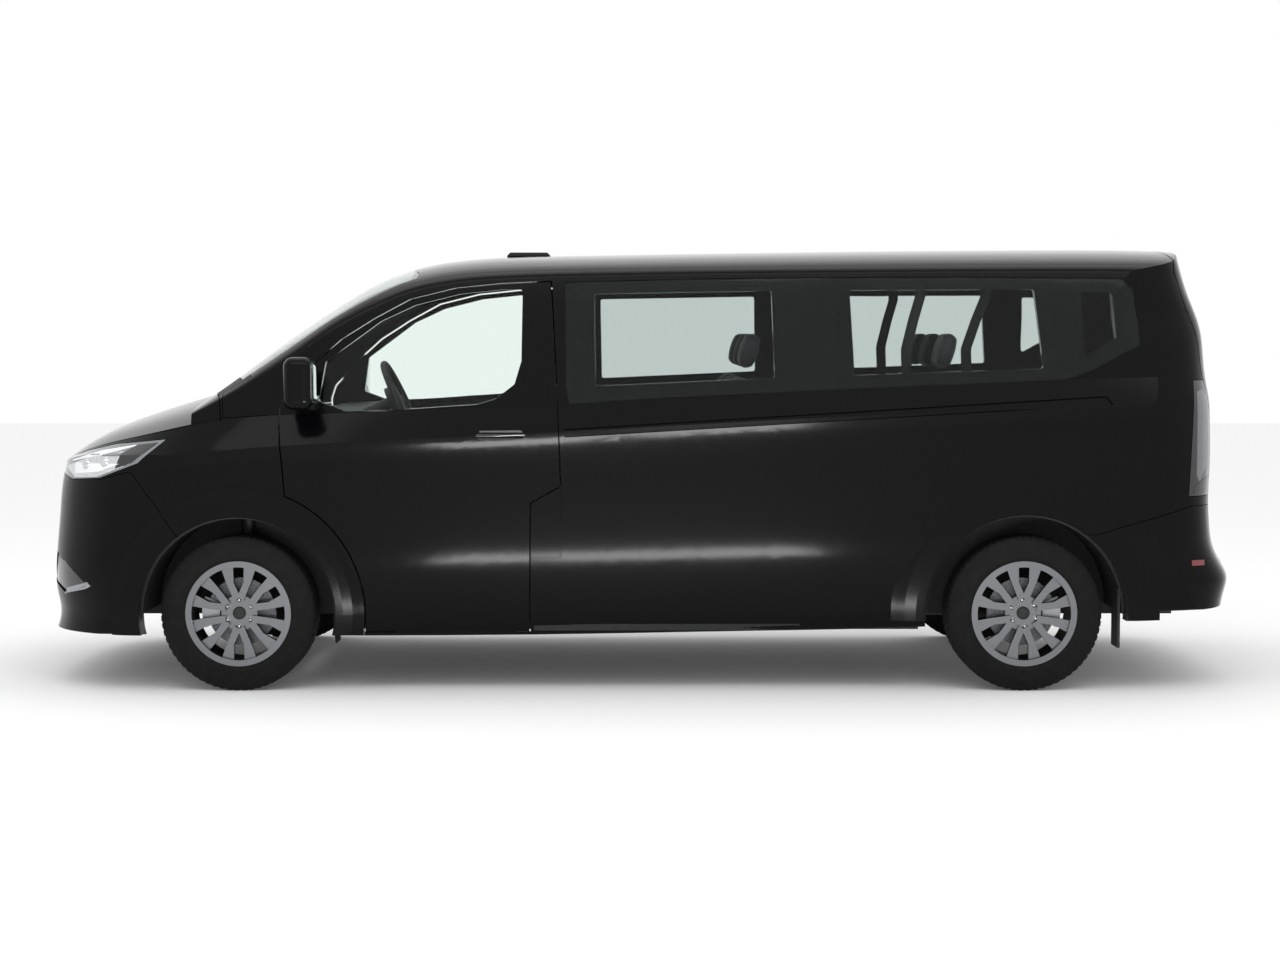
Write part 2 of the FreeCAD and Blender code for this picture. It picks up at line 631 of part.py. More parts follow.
def bonnet_region(grow):
    """Room of the bonnet: above the waist line and ahead of the cowl."""
    shares = bonnet_edge_shares + [bonnet_rear_share]
    right = [Vector(s * LENGTH, read_line(waist_width_shares, s) * HALF_WIDTH + grow, 0)
             for s in shares]
    right[-1].x += grow
    left = mirrored(right)
    top, middle, low = cowl_arc(grow)
    arc = Part.Arc(right[-1], middle, left[0]).toShape()
    outline = [curve(right), arc, curve(left), curve([left[-1], right[0]])]
    plan = Part.Face(Part.Wire(outline)).extrude(Vector(0, 0, 2 * HEIGHT))
    drop = (TOP_WALL + grow) / HEIGHT
    low = [(s, max(read_line(waist_line_shares, s), bonnet_front_share + drop) - drop)
           for s in shares + [shares[-1] + panel_overlap_share]]
    return plan.common(through_region(low + [(low[-1][0], 1), (low[0][0], 1)]))


def screen_region(grow):
    """Room of the windscreen behind the cowl."""
    front = cowl_width_share * LENGTH + PANEL_GAP - grow
    return front_region(screen_outline(), -LENGTH / 2, -SCREEN_REAR, grow).common(
        behind_cowl(front))


def tail_glass_region(grow):
    """Room of the tailgate glass."""
    return front_region(tail_glass_outline(), tailgate_top_share * LENGTH, LENGTH, grow)


def screen_outline():
    """Half outline of the windscreen in the front view."""
    return screen_bottom_shares + screen_outline_shares


def tail_glass_outline():
    """Half outline of the tailgate glass in the rear view."""
    low = (0.0, tail_glass_shares[-1][1])
    return [(0.0, tail_glass_shares[0][1])] + tail_glass_shares + [low]


def grille_region(grow):
    """Room of the grille in the nose."""
    high = (0.0, grille_outline_shares[0][1])
    return front_region([high] + grille_outline_shares, -LENGTH, -GRILLE_REAR, grow)


def cowl_region(grow):
    """Room of the cowl panel between bonnet and windscreen."""
    side = cowl_side_share * HALF_WIDTH + grow
    band = box(Vector(-LENGTH / 2, -side, cowl_bottom_share * HEIGHT - grow),
               Vector(0, side, HEIGHT))
    band = band.common(behind_cowl(SHUT_GAP - grow))
    rear = cowl_width_share * LENGTH + PANEL_GAP + SCREEN_FLANGE
    return band.cut(behind_cowl(rear + grow))


def lamp_region(grow):
    """Room of the two headlamps at the nose corners."""
    inner = lamp_inner_share * HALF_WIDTH - grow
    lamps = []
    for side in (-1, 1):
        start, end = sorted([side * inner, side * 2 * HALF_WIDTH])
        keep = box(Vector(-LENGTH, start, 0), Vector(0, end, HEIGHT))
        lamps.append(side_region(lamp_outline_shares, side, grow).common(keep))
    return lamps


def fog_region(side):
    """Recess of one fog lamp, low on the bumper's corner."""
    return side_region(fog_outline_shares, side)


def bumper_region(grow):
    """Room of the front bumper, below the lamps and ahead of the wheels."""
    low = [(bumper_top_shares[-1][0], 0), (bumper_top_shares[0][0], 0)]
    return through_region(bumper_top_shares + low, grow)


def rear_bumper_region(grow):
    """Room of the rear bumper round both tail corners."""
    low = [(rear_bumper_shares[-1][0], 0), (rear_bumper_shares[0][0], 0)]
    return through_region(rear_bumper_shares + low, grow)


def tailgate_region(grow):
    """Room of the tailgate between the tail lamps."""
    return front_region(tailgate_outline_shares, tailgate_top_share * LENGTH - grow, LENGTH,
                        grow)


def wing_region(side, grow):
    """Room of one front wing: ahead of the door and round the wheel arch."""
    start, end = sorted([side * lamp_inner_share * HALF_WIDTH, side * 2 * HALF_WIDTH])
    arch = ring(FRONT_FLARE_RADIUS + grow, start, end, FRONT_AXLE_X, 0, HUB_Z)
    keep = box(Vector(-LENGTH, start, 0), Vector(0, end, HEIGHT))
    return side_region(wing_outline_shares, side, grow).common(keep).fuse(arch)


def door_region(side, grow):
    """Room of one front door."""
    start, end = sorted([0, side * 2 * HALF_WIDTH])
    arch = ring(FRONT_FLARE_RADIUS + SHUT_GAP - grow, start, end, FRONT_AXLE_X, 0, HUB_Z)
    return side_region(door_outline_shares, side, grow).cut(arch)


def roof_region(grow):
    """Room of the roof panel between the cant rails."""
    side = roof_side_share * HALF_WIDTH + grow
    return box(Vector(roof_front_share * LENGTH - grow, -side, HEIGHT / 2),
               Vector(tailgate_top_share * LENGTH - SHUT_GAP + grow, side, 2 * HEIGHT))


def band_halves(side, grow):
    """The two bonded side windows of one side."""
    band = side_region(band_outline_shares, side, grow)
    split = band_split_x_share * LENGTH
    gap = PANEL_GAP / 2 - grow
    if gap <= 0:
        return [band]
    start, end = sorted([0, side * 2 * HALF_WIDTH])
    front = box(Vector(-LENGTH, start, 0), Vector(split - gap, end, 2 * HEIGHT))
    rear = box(Vector(split + gap, start, 0), Vector(LENGTH, end, 2 * HEIGHT))
    return [band.common(front), band.common(rear)]


# panels

def make_door(bodies, under, side):
    """Front door with its stepped edge, and its drop glass."""
    door = skin(bodies, door_region(side, 0))
    deep = bodies[0].translated(Vector(0, -side * DOOR_REBATE_DEPTH, 0))
    edge = side_region(door_outline_shares, side).cut(
        side_region(door_outline_shares, side, -DOOR_REBATE))
    hole = rounded(side_region(door_glass_shares, side), WINDOW_CORNER)
    window = pane(bodies[0], under,
                  rounded(side_region(door_glass_shares, side, -SEAT_GAP), WINDOW_CORNER))
    window.translate(Vector(0, -side * 2 * GLASS, 0))
    door = door.cut(edge.common(deep)).cut(hole).fuse(door_handle(bodies[0]))
    return cleaned(door), cleaned(window)


def make_flank(bodies, under):
    """Left body side with every aperture but the filler flap and sliding door."""
    region = box(Vector(-LENGTH, -2 * HALF_WIDTH, 0),
                 Vector(LENGTH, -roof_side_share * HALF_WIDTH, 2 * HEIGHT))
    for other in (wing_region(-1, PANEL_GAP), bumper_region(PANEL_GAP),
                  door_region(-1, SHUT_GAP), bonnet_region(SHUT_GAP), cowl_region(PANEL_GAP),
                  rear_bumper_region(PANEL_GAP), tailgate_region(SHUT_GAP),
                  side_region(tail_lamp_shares, -1, PANEL_GAP), screen_region(-SCREEN_FLANGE)):
        region = region.cut(other)
    for shares in (first_opening_shares, second_opening_shares, third_opening_shares):
        region = region.cut(rounded(side_region(shares, -1), WINDOW_CORNER))
    flank = skin(bodies, region)
    flank = flank.cut(sunk(bodies[0], side_region(rail_outline_shares, -1), RAIL_GROOVE,
                           Vector(0, -1, 0)))
    rebate = band_halves(-1, PANEL_GAP)[0].cut(under.translated(Vector(0, SEAT_GAP, 0)))
    return cleaned(flank.cut(rebate).cut(screen_rebate(under)))


def screen_rebate(under):
    """Rebate that the windscreen lies in."""
    return screen_region(PANEL_GAP).cut(under.translated(Vector(SEAT_GAP, 0, -SEAT_GAP)))


def pair(piece):
    """A piece and its mirror image."""
    return Part.makeCompound(piece.Solids + mirror(piece).Solids)


def make_lids(bodies, under):
    """Bonnet, tailgate and the glass on them."""
    gate = skin(bodies, tailgate_region(0).cut(tail_glass_region(-SCREEN_FLANGE)))
    rebate = tail_glass_region(PANEL_GAP).cut(under.translated(Vector(-SEAT_GAP, 0, 0)))
    return {"bonnet": cleaned(skin(bodies, bonnet_region(0))),
            "tailgate": cleaned(gate.cut(rebate)),
            "tailgate_glass": cleaned(pane(bodies[0], under, tail_glass_region(0)))}


def fixing_lug(bodies, under, place, side):
    """Lug below the outer surface that carries the neighbour across a panel joint."""
    start, end = sorted([0, side * 2 * HALF_WIDTH])
    x = place[0] * LENGTH
    z = place[1] * HEIGHT
    block = box(Vector(x - LUG_SIZE, start, z - LUG_SIZE),
                Vector(x + LUG_SIZE, end, z + LUG_SIZE))
    return block.common(under).cut(bodies[1])


def raised(outer, region, low, high, shift):
    """A layer of a region between two distances out from the surface."""
    return region.common(outer.translated(shift * high)).cut(outer.translated(shift * low))


def sunk(outer, region, depth, shift):
    """The layer of a region below the surface, for cutting a recess."""
    return region.common(outer).cut(outer.translated(shift * -depth))


def grille_bars(outer):
    """Cross bars that stand on the recessed grille panel."""
    bars = []
    half = bar_half_share * HALF_WIDTH
    for share in bar_level_shares:
        z = share * HEIGHT
        row = box(Vector(-LENGTH, -half, z - BAR_HEIGHT / 2),
                  Vector(-GRILLE_REAR, half, z + BAR_HEIGHT / 2))
        bars.append(raised(outer, row, -GRILLE_RECESS - BAR_STAND / 2,
                           BAR_STAND - GRILLE_RECESS, Vector(-1, 0, 0)))
    return bars


def door_handle(outer):
    """Bowed pull bar of the left front door on two feet."""
    out = Vector(0, -1, 0)
    outline = side_region(handle_outline_shares, -1)
    bar = raised(outer, outline, HANDLE_STAND - HANDLE_WALL, HANDLE_STAND, out)
    low = handle_outline_shares[0][0] * LENGTH
    high = handle_outline_shares[1][0] * LENGTH
    for start in (low, high - HANDLE_FOOT):
        column = box(Vector(start, -2 * HALF_WIDTH, 0), Vector(start + HANDLE_FOOT, 0, HEIGHT))
        bar = bar.fuse(raised(outer, outline.common(column), -HANDLE_WALL, HANDLE_STAND, out))
    return bar


def make_ends(bodies, under):
    """Bumpers, grille and lamps."""
    lamp_left, lamp_right = lamp_region(PANEL_GAP)
    wing = wing_region(-1, 0)
    for other in (bumper_region(PANEL_GAP), lamp_left, bonnet_region(SHUT_GAP),
                  cowl_region(PANEL_GAP), door_region(-1, SHUT_GAP)):
        wing = wing.cut(other)
    lug = fixing_lug(bodies, under, lamp_lug_share, -1).cut(lamp_region(SEAT_GAP)[0])
    wing = skin(bodies, wing).fuse(lug)
    bumper = bumper_region(0)
    for other in (grille_region(PANEL_GAP), lamp_left, lamp_right):
        bumper = bumper.cut(other)
    rear = rear_bumper_region(0).cut(tailgate_region(SHUT_GAP))
    tail = side_region(tail_lamp_shares, -1).cut(tailgate_region(SHUT_GAP))
    lamp = lamp_region(0)[0].cut(bonnet_region(PANEL_GAP))
    rear_bumper = skin(bodies, rear)
    for side in (-1, 1):
        stop = Part.makeCylinder(STOP_RADIUS, STOP_HEIGHT, Vector(
            stop_x_share * LENGTH, side * stop_y_share * HALF_WIDTH,
            tailgate_outline_shares[-1][1] * HEIGHT - SEAT_GAP - STOP_HEIGHT))
        rear_bumper = rear_bumper.fuse(stop)
    recessed = (bodies[0].translated(Vector(GRILLE_RECESS, 0, 0)), bodies[1], [])
    bumper = skin(bodies, bumper)
    intake = front_region(intake_outline_shares, -LENGTH, -GRILLE_REAR, 0)
    bumper = bumper.cut(sunk(bodies[0], intake, INTAKE_DEPTH, Vector(-1, 0, 0)))
    for side in (-1, 1):
        fog = fog_region(side)
        bumper = bumper.cut(sunk(bodies[0], fog, FOG_DEPTH, Vector(0, side, 0)))
        lug = fixing_lug(bodies, under, grille_lug_share, side)
        bumper = bumper.fuse(lug.cut(grille_region(SEAT_GAP)))
    return {"front_wings": pair(cleaned(wing)),
            "front_bumper": cleaned(bumper),
            "rear_bumper": cleaned(rear_bumper),
            "tail_lamps": pair(cleaned(skin(bodies, tail))),
            "headlamps": pair(cleaned(skin(bodies, lamp))),
            "grille": cleaned(skin(recessed, grille_region(0)).multiFuse(
                grille_bars(bodies[0])))}


def make_sides(bodies, under):
    """Both body sides with doors, filler flap and side glass."""
    door, window = make_door(bodies, under, -1)
    flank = make_flank(bodies, under)
    door_bottom = door_outline_shares[-4][1] * HEIGHT
    strip = box(Vector(strip_front_share * LENGTH, -strip_outer_share * HALF_WIDTH,
                       door_bottom - SHUT_GAP - SEAL_ROOT),
                Vector(strip_rear_share * LENGTH, -strip_inner_share * HALF_WIDTH,
                       door_bottom - SEAT_GAP))
    lug = fixing_lug(bodies, under, tail_lug_share, -1)
    lug = lug.cut(side_region(tail_lamp_shares, -1, SEAT_GAP))
    flank = cleaned(flank.fuse(strip.common(bodies[0])).fuse(lug))
    panes = Part.makeCompound([pane(bodies[0], under, half) for half in band_halves(-1, 0)])
    flap_room = side_region(flap_outline_shares, -1, SHUT_GAP)
    flap = side_region(flap_outline_shares, -1).cut(door_region(-1, SHUT_GAP))
    recess = flap_room.cut(under.translated(Vector(0, SEAT_GAP, 0)))
    slide = side_region(sliding_outline_shares, 1)
    return {"front_door_left": door, "front_door_right": mirror(door),
            "door_glass_left": window, "door_glass_right": mirror(window),
            "side_glass": pair(panes), "fuel_flap": cleaned(pane(bodies[0], under, flap)),
            "body_side_left": cleaned(flank.cut(recess)),
            "sliding_door_right": cleaned(mirror(flank).common(slide)),
            "body_side_right": cleaned(mirror(flank).cut(
                side_region(sliding_outline_shares, 1, PANEL_GAP)))}


def make_panels(outer, inner, under):
    """Body panels, doors, lids and glass by name."""
    bodies = (outer, inner, all_flares())
    pieces = make_sides(bodies, under)
    pieces.update(make_lids(bodies, under))
    pieces.update(make_ends(bodies, under))
    rebate = screen_rebate(under)
    roof = roof_region(-SEAT_GAP).cut(screen_region(-SCREEN_FLANGE))
    cowl = cowl_region(0).cut(screen_region(-SCREEN_FLANGE))
    pieces["roof_panel"] = cleaned(skin(bodies, roof).cut(rebate))
    pieces["cowl_panel"] = cleaned(skin(bodies, cowl).cut(rebate))
    pieces["windscreen"] = cleaned(pane(outer, under, screen_region(0)))
    return pieces


# wheels

def make_tyre():
    """Plain tyre ring about a hub at the origin."""
    half = []
    for wide, high in tyre_section_shares:
        radius = RIM_FLANGE_RADIUS + high * (TYRE_RADIUS - RIM_FLANGE_RADIUS)
        half.append((radius, wide * TYRE_WIDTH / 2))
    seat = RIM_FLANGE_RADIUS - RIM_FLANGE_DEPTH + SEAT_GAP
    bead = RIM_WIDTH / 2 - RIM_WALL - SEAT_GAP
    inner = [(seat, bead)]
    outline = inner + half + [(r, -y) for r, y in reversed(half)] + [(seat, -bead)]
    return revolved(outline, Vector(0, 0, 0))


def make_rim(side):
    """Rim with six pairs of spokes about a hub at the origin."""
    seat = RIM_FLANGE_RADIUS - RIM_FLANGE_DEPTH
    edge = RIM_WIDTH / 2
    outline = [(seat - RIM_WALL, -edge), (RIM_FLANGE_RADIUS, -edge),
               (RIM_FLANGE_RADIUS, -edge + RIM_WALL), (seat, -edge + RIM_WALL),
               (seat, edge - RIM_WALL), (RIM_FLANGE_RADIUS, edge - RIM_WALL),
               (RIM_FLANGE_RADIUS, edge), (seat - RIM_WALL, edge)]
    solid = revolved([(r, side * y) for r, y in outline], Vector(0, 0, 0))
    pad = [(HUB_BORE_RADIUS, RIM_PAD_OFFSET), (HUB_PAD_RADIUS, RIM_PAD_OFFSET),
           (HUB_PAD_RADIUS, RIM_FACE_OFFSET - HUB_DISH), (HUB_BORE_RADIUS, RIM_FACE_OFFSET
                                                          - HUB_DISH)]
    solid = solid.fuse(revolved([(r, side * y) for r, y in pad], Vector(0, 0, 0)))
    reach = seat - RIM_WALL / 2
    spokes = []
    for group in range(SPOKE_GROUPS):
        for lean in (-1, 1):
            points = []
            for out, wide in spoke_outline_shares:
                points.append(Vector(out * reach, 0, lean * wide * reach))
            face = Part.Face(Part.makePolygon(points + points[:1]))
            start = min(side * RIM_FACE_OFFSET, side * (RIM_FACE_OFFSET - SPOKE_DEPTH))
            spoke = face.extrude(Vector(0, SPOKE_DEPTH, 0))
            spoke.translate(Vector(0, start, 0))
            spoke.rotate(Vector(0, 0, 0), Vector(0, 1, 0), group * 360 / SPOKE_GROUPS)
            spokes.append(spoke)
    trimmed = spokes[0].multiFuse(spokes[1:]).common(ring(reach, -RIM_WIDTH, RIM_WIDTH, 0, 0, 0))
    solid = solid.fuse(trimmed)
    cap = ring(HUB_BORE_RADIUS, 0, HUB_CAP_DEPTH, 0, 0, 0)
    top = side * (RIM_FACE_OFFSET - HUB_DISH)
    cap.translate(Vector(0, min(top, top - side * HUB_CAP_DEPTH), 0))
    return solid.fuse(cap)


def make_disc(side):
    """Brake disc with its bell, seated behind the rim pad."""
    top = RIM_PAD_OFFSET - SEAT_GAP
    low = top - DISC_BELL_DEPTH
    outline = [(HUB_BORE_RADIUS, top), (DISC_BELL_RADIUS, top), (DISC_BELL_RADIUS, low),
               (DISC_RADIUS, low), (DISC_RADIUS, low - DISC_THICKNESS),
               (DISC_BELL_RADIUS - DISC_BELL_WALL, low - DISC_THICKNESS),
               (DISC_BELL_RADIUS - DISC_BELL_WALL, top - DISC_BELL_WALL),
               (HUB_BORE_RADIUS, top - DISC_BELL_WALL)]
    return revolved([(r, side * y) for r, y in outline], Vector(0, 0, 0))


def make_caliper(side, turn):
    """Caliper saddle over the disc, turned about the hub."""
    top = RIM_PAD_OFFSET - SEAT_GAP - DISC_BELL_DEPTH
    low = top - DISC_THICKNESS
    inner = DISC_RADIUS * caliper_reach_share
    outer = DISC_RADIUS + CALIPER_CLEARANCE + CALIPER_WALL
    high = top + CALIPER_CLEARANCE + CALIPER_WALL
    deep = low - CALIPER_CLEARANCE - 2 * CALIPER_WALL
    outline = [(inner, high), (outer, high), (outer, deep), (inner, deep),
               (inner, low - CALIPER_CLEARANCE), (DISC_RADIUS + CALIPER_CLEARANCE, low
                                                  - CALIPER_CLEARANCE),
               (DISC_RADIUS + CALIPER_CLEARANCE, top + CALIPER_CLEARANCE),
               (inner, top + CALIPER_CLEARANCE)]
    points = [Vector(r, side * y, 0) for r, y in outline]
    face = Part.Face(Part.makePolygon(points + points[:1]))
    solid = face.revolve(Vector(0, 0, 0), Vector(0, 1, 0), 2 * CALIPER_HALF_ANGLE)
    solid.rotate(Vector(0, 0, 0), Vector(0, 1, 0), turn - CALIPER_HALF_ANGLE)
    return solid, deep


def make_carrier(side, turn):
    """Upright with spindle and caliper about a hub at the origin."""
    caliper, deep = make_caliper(side, turn)
    start, end = sorted([side * deep, side * (deep + CARRIER_THICKNESS)])
    plate = ring(CARRIER_RADIUS, start, end, 0, 0, 0)
    arm = box(Vector(0, start, -CARRIER_ARM / 2), Vector(DISC_RADIUS, end, CARRIER_ARM / 2))
    arm.rotate(Vector(0, 0, 0), Vector(0, 1, 0), turn)
    start, end = sorted([side * deep, side * (RIM_PAD_OFFSET - SEAT_GAP)])
    spindle = ring(HUB_BORE_RADIUS - SEAT_GAP, start, end, 0, 0, 0)
    return plate.fuse(arm).fuse(spindle).fuse(caliper)


def make_knuckle(side):
    """Front carrier with the kingpin boss that it steers on."""
    bottom = subframe_top() - SUBFRAME_THICKNESS + ARM_THICKNESS + SEAT_GAP - HUB_Z
    foot = Vector(0, -side * STEER_OFFSET, bottom)
    boss = Part.makeCylinder(KINGPIN_BOSS, CARRIER_RADIUS - bottom, foot)
    hole = Part.makeCylinder(KINGPIN_RADIUS + SEAT_GAP, KINGPIN_LENGTH + SEAT_GAP, foot)
    return make_carrier(side, 180).fuse(boss).cut(hole)


def make_wheels():
    """Tyres, rims, discs and carriers by name."""
    pieces = {}
    for axle, x, turn in (("front", FRONT_AXLE_X, 180), ("rear", REAR_AXLE_X, 0)):
        for name, side in (("left", -1), ("right", 1)):
            hub = Vector(x, side * WHEEL_Y, HUB_Z)
            place = "_" + axle + "_" + name
            pieces["tyre" + place] = make_tyre().translated(hub)
            pieces["rim" + place] = make_rim(side).translated(hub)
            pieces["disc" + place] = make_disc(side).translated(hub)
            if axle == "front":
                pieces["knuckle_" + name] = make_knuckle(side).translated(hub)
            else:
                pieces["carrier_" + name] = make_carrier(side, turn).translated(hub)
    return pieces


# cabin

def make_floor(inner):
    """Cabin floor with its rockers, rails and bulkhead."""
    front = bulkhead_x_share * LENGTH
    arch_rear = FRONT_AXLE_X + FRONT_ARCH_RADIUS + 2 * LINER_WALL
    rear = rail_rear_share * LENGTH
    low = FLOOR_TOP - FLOOR_THICKNESS
    narrow = ARCH_INNER_HALF_WIDTH - 2 * LINER_WALL
    wide = FLOOR_HALF_WIDTH
    floor = box(Vector(arch_rear, -wide, low), Vector(rear, wide, FLOOR_TOP))
    floor = floor.fuse(box(Vector(front, -narrow, low), Vector(arch_rear, narrow, FLOOR_TOP)))
    for side in (-1, 1):
        start, end = sorted([side * wide, side * (wide - ROCKER_WIDTH)])
        stop = REAR_AXLE_X - REAR_ARCH_RADIUS - 2 * LINER_WALL
        floor = floor.fuse(box(Vector(arch_rear, start, ROCKER_BOTTOM),
                               Vector(stop, end, low)))
    ledge = box(Vector(ledge_front_share * LENGTH, -HALF_WIDTH, low),
                Vector(stop, 0, FLOOR_TOP)).common(inner.translated(Vector(0, SEAT_GAP, 0)))
    floor = floor.fuse(ledge).fuse(mirror(ledge))
    for side in (-1, 1):
        start, end = sorted([side * narrow, side * 2 * HALF_WIDTH])
        floor = floor.cut(ring(REAR_ARCH_RADIUS + LINER_WALL, start, end, REAR_AXLE_X, 0,
                               HUB_Z))
    for side in (-1, 1):
        start, end = sorted([side * RAIL_Y, side * (RAIL_Y - RAIL_SIZE.x)])
        rail = box(Vector(rail_front_share * LENGTH, start, low - RAIL_SIZE.z),
                   Vector(rear, end, low))
        floor = floor.fuse(rail)
    floor = floor.cut(ring(AXLE_RADIUS + SHUT_GAP, -HALF_WIDTH, HALF_WIDTH, REAR_AXLE_X, 0,
                           HUB_Z))
    wall = box(Vector(front, -BULKHEAD_HALF_WIDTH, HUB_Z + FRONT_ARCH_RADIUS + LINER_WALL),
               Vector(front + BULKHEAD_THICKNESS, BULKHEAD_HALF_WIDTH, BULKHEAD_TOP))
    toe = box(Vector(front, -narrow, low),
              Vector(front + BULKHEAD_THICKNESS, narrow, BULKHEAD_TOP))
    return floor.fuse(wall).fuse(toe)


def make_dashboard():
    """Dashboard moulding across the bulkhead."""
    front = bulkhead_x_share * LENGTH + BULKHEAD_THICKNESS + SEAT_GAP
    points = [Vector(front + x * dash_scale_share * LENGTH, -DASH_HALF_WIDTH,
                     (dash_base_share + z * dash_rise_share) * HEIGHT)
              for x, z in dash_profile_shares]
    dash = face_of(points, 0).extrude(Vector(0, 2 * DASH_HALF_WIDTH, 0))
    return dash.cut(steering_column(SEAT_GAP))


def steering_place(shape):
    """A shape of the steering wheel's own frame set ahead of the driver."""
    shape.rotate(Vector(0, 0, 0), Vector(0, 1, 0), 90 - STEERING_TILT)
    return shape.translated(Vector(steering_x_share * LENGTH, -driver_y_share * HALF_WIDTH,
                                   STEERING_Z))


def steering_column(grow):
    """Steering column in place, grown for its hole in the dashboard."""
    column = Part.makeCylinder(COLUMN_RADIUS + grow, COLUMN_LENGTH + grow, Vector(
        0, 0, -STEERING_HUB_DEPTH - COLUMN_LENGTH - grow))
    return steering_place(column)


def make_steering_wheel():
    """Steering wheel on its column ahead of the driver."""
    rim = Part.makeTorus(STEERING_RADIUS - STEERING_RIM, STEERING_RIM)
    hub = Part.makeCylinder(STEERING_HUB_RADIUS, STEERING_HUB_DEPTH,
                            Vector(0, 0, -STEERING_HUB_DEPTH))
    spokes = box(Vector(-SPOKE_WIDTH / 2, -STEERING_RADIUS + STEERING_RIM, -STEERING_RIM),
                 Vector(SPOKE_WIDTH / 2, STEERING_RADIUS - STEERING_RIM, 0))
    return steering_place(rim.fuse(hub).fuse(spokes)).fuse(steering_column(0))


def make_seat(x, y, width):
    """One seat with base, cushion, back and headrest; x is the foot of the back."""
    top = FLOOR_TOP + SEAT_GAP + SEAT_BASE_HEIGHT + SEAT_THICKNESS
    cushion = box(Vector(x - SEAT_DEPTH, y - width / 2, top - SEAT_THICKNESS),
                  Vector(x, y + width / 2, top))
    cushion = cushion.makeFillet(SEAT_CORNER, cushion.Edges)
    base_half = SEAT_BASE_WIDTH / 2 + (width - SEAT_WIDTH) / 2
    base = box(Vector(x - SEAT_DEPTH + 2 * SEAT_CORNER, y - base_half,
                      FLOOR_TOP + SEAT_GAP),
               Vector(x - SEAT_CORNER, y + base_half, top - SEAT_THICKNESS / 2))
    back = box(Vector(0, y - width / 2, 0), Vector(BACK_THICKNESS, y + width / 2, BACK_HEIGHT))
    back = back.makeFillet(SEAT_CORNER, back.Edges)
    seat = [back]
    places = max(1, round(width / SEAT_PITCH))
    for place in range(places):
        middle = y + (place - (places - 1) / 2) * width / places
        rest = box(Vector(0, middle - HEADREST_WIDTH / 2, BACK_HEIGHT + HEADREST_GAP),
                   Vector(HEADREST_THICKNESS, middle + HEADREST_WIDTH / 2,
                          BACK_HEIGHT + HEADREST_GAP + HEADREST_HEIGHT))
        seat.append(rest.makeFillet(SEAT_CORNER, rest.Edges))
        seat.append(box(Vector(SEAT_CORNER, middle - SEAT_CORNER, BACK_HEIGHT - SEAT_CORNER),
                        Vector(2 * SEAT_CORNER, middle + SEAT_CORNER,
                               BACK_HEIGHT + HEADREST_GAP + SEAT_CORNER)))
    for solid in seat:
        solid.rotate(Vector(0, 0, 0), Vector(0, 1, 0), BACK_LEAN)
        solid.translate(Vector(x - SEAT_CORNER, 0, top - SEAT_THICKNESS / 2))
    result = cushion.fuse(base)
    for solid in seat:
        result = result.fuse(solid)
    return result


def make_seats():
    """Two front seats, and two benches behind."""
    y = driver_y_share * HALF_WIDTH
    x = front_seat_x_share * LENGTH
    singles = [make_seat(x, -y, SEAT_WIDTH), make_seat(x, y, SEAT_WIDTH)]
    bench_width = BENCH_SEATS * SEAT_PITCH - SEAT_CORNER
    benches = []
    for share in (second_row_x_share, third_row_x_share):
        benches.append(make_seat(share * LENGTH, 0, bench_width))
    return Part.makeCompound(singles), Part.makeCompound(benches)


# underbody

def mud_flap(side):
    """Rubber flap that hangs from the rear of a wheel house."""
    rear = REAR_AXLE_X + REAR_ARCH_RADIUS - MUD_FLAP_SET
    start, end = sorted([side * liner_width_share * HALF_WIDTH,
                         side * (liner_width_share * HALF_WIDTH - MUD_FLAP.y)])
    return box(Vector(rear - MUD_FLAP.x, start, MUD_FLAP_BOTTOM),
               Vector(rear, end, MUD_FLAP_BOTTOM + MUD_FLAP.z))


def make_liners():
    """Liners of the four wheel houses."""
    liners = []
    for x, radius in ((FRONT_AXLE_X, FRONT_ARCH_RADIUS), (REAR_AXLE_X, REAR_ARCH_RADIUS)):
        for side in (-1, 1):
            outer_y = liner_width_share * HALF_WIDTH
            start, end = sorted([side * ARCH_INNER_HALF_WIDTH, side * outer_y])
            wall = ring(radius - SEAT_GAP, start, end, x, 0, HUB_Z)
            start, end = sorted([side * (ARCH_INNER_HALF_WIDTH + LINER_WALL),
                                 side * 2 * HALF_WIDTH])
            wall = wall.cut(ring(radius - SEAT_GAP - LINER_WALL, start, end, x, 0, HUB_Z))
            keep = box(Vector(x - radius, -HALF_WIDTH, HUB_Z),
                       Vector(x + radius, HALF_WIDTH, HUB_Z + radius))
            liner = wall.common(keep)
            if x == REAR_AXLE_X:
                beam = ring(AXLE_RADIUS + SHUT_GAP, -HALF_WIDTH, HALF_WIDTH, x, 0, HUB_Z)
                liner = liner.cut(beam).fuse(mud_flap(side))
            liners.append(liner)
    return Part.makeCompound(liners)


def subframe_top():
    """Height of the crossmember's top, just under the rails."""
    return FLOOR_TOP - FLOOR_THICKNESS - RAIL_SIZE.z - SEAT_GAP


def make_engine():
    """Engine and gearbox as one plain block."""
    low = Vector(engine_x_share * LENGTH - ENGINE_SIZE.x / 2, -ENGINE_SIZE.y / 2,
                 subframe_top() + SEAT_GAP)
    return box(low, low + ENGINE_SIZE)


def make_tank():
    """Fuel tank under the floor."""
    top = FLOOR_TOP - FLOOR_THICKNESS - SEAT_GAP
    low = Vector(tank_x_share * LENGTH, -RAIL_Y + RAIL_SIZE.x + SEAT_GAP, top - TANK_SIZE.z)
    return box(low, Vector(low.x + TANK_SIZE.x, low.y + TANK_SIZE.y, top))


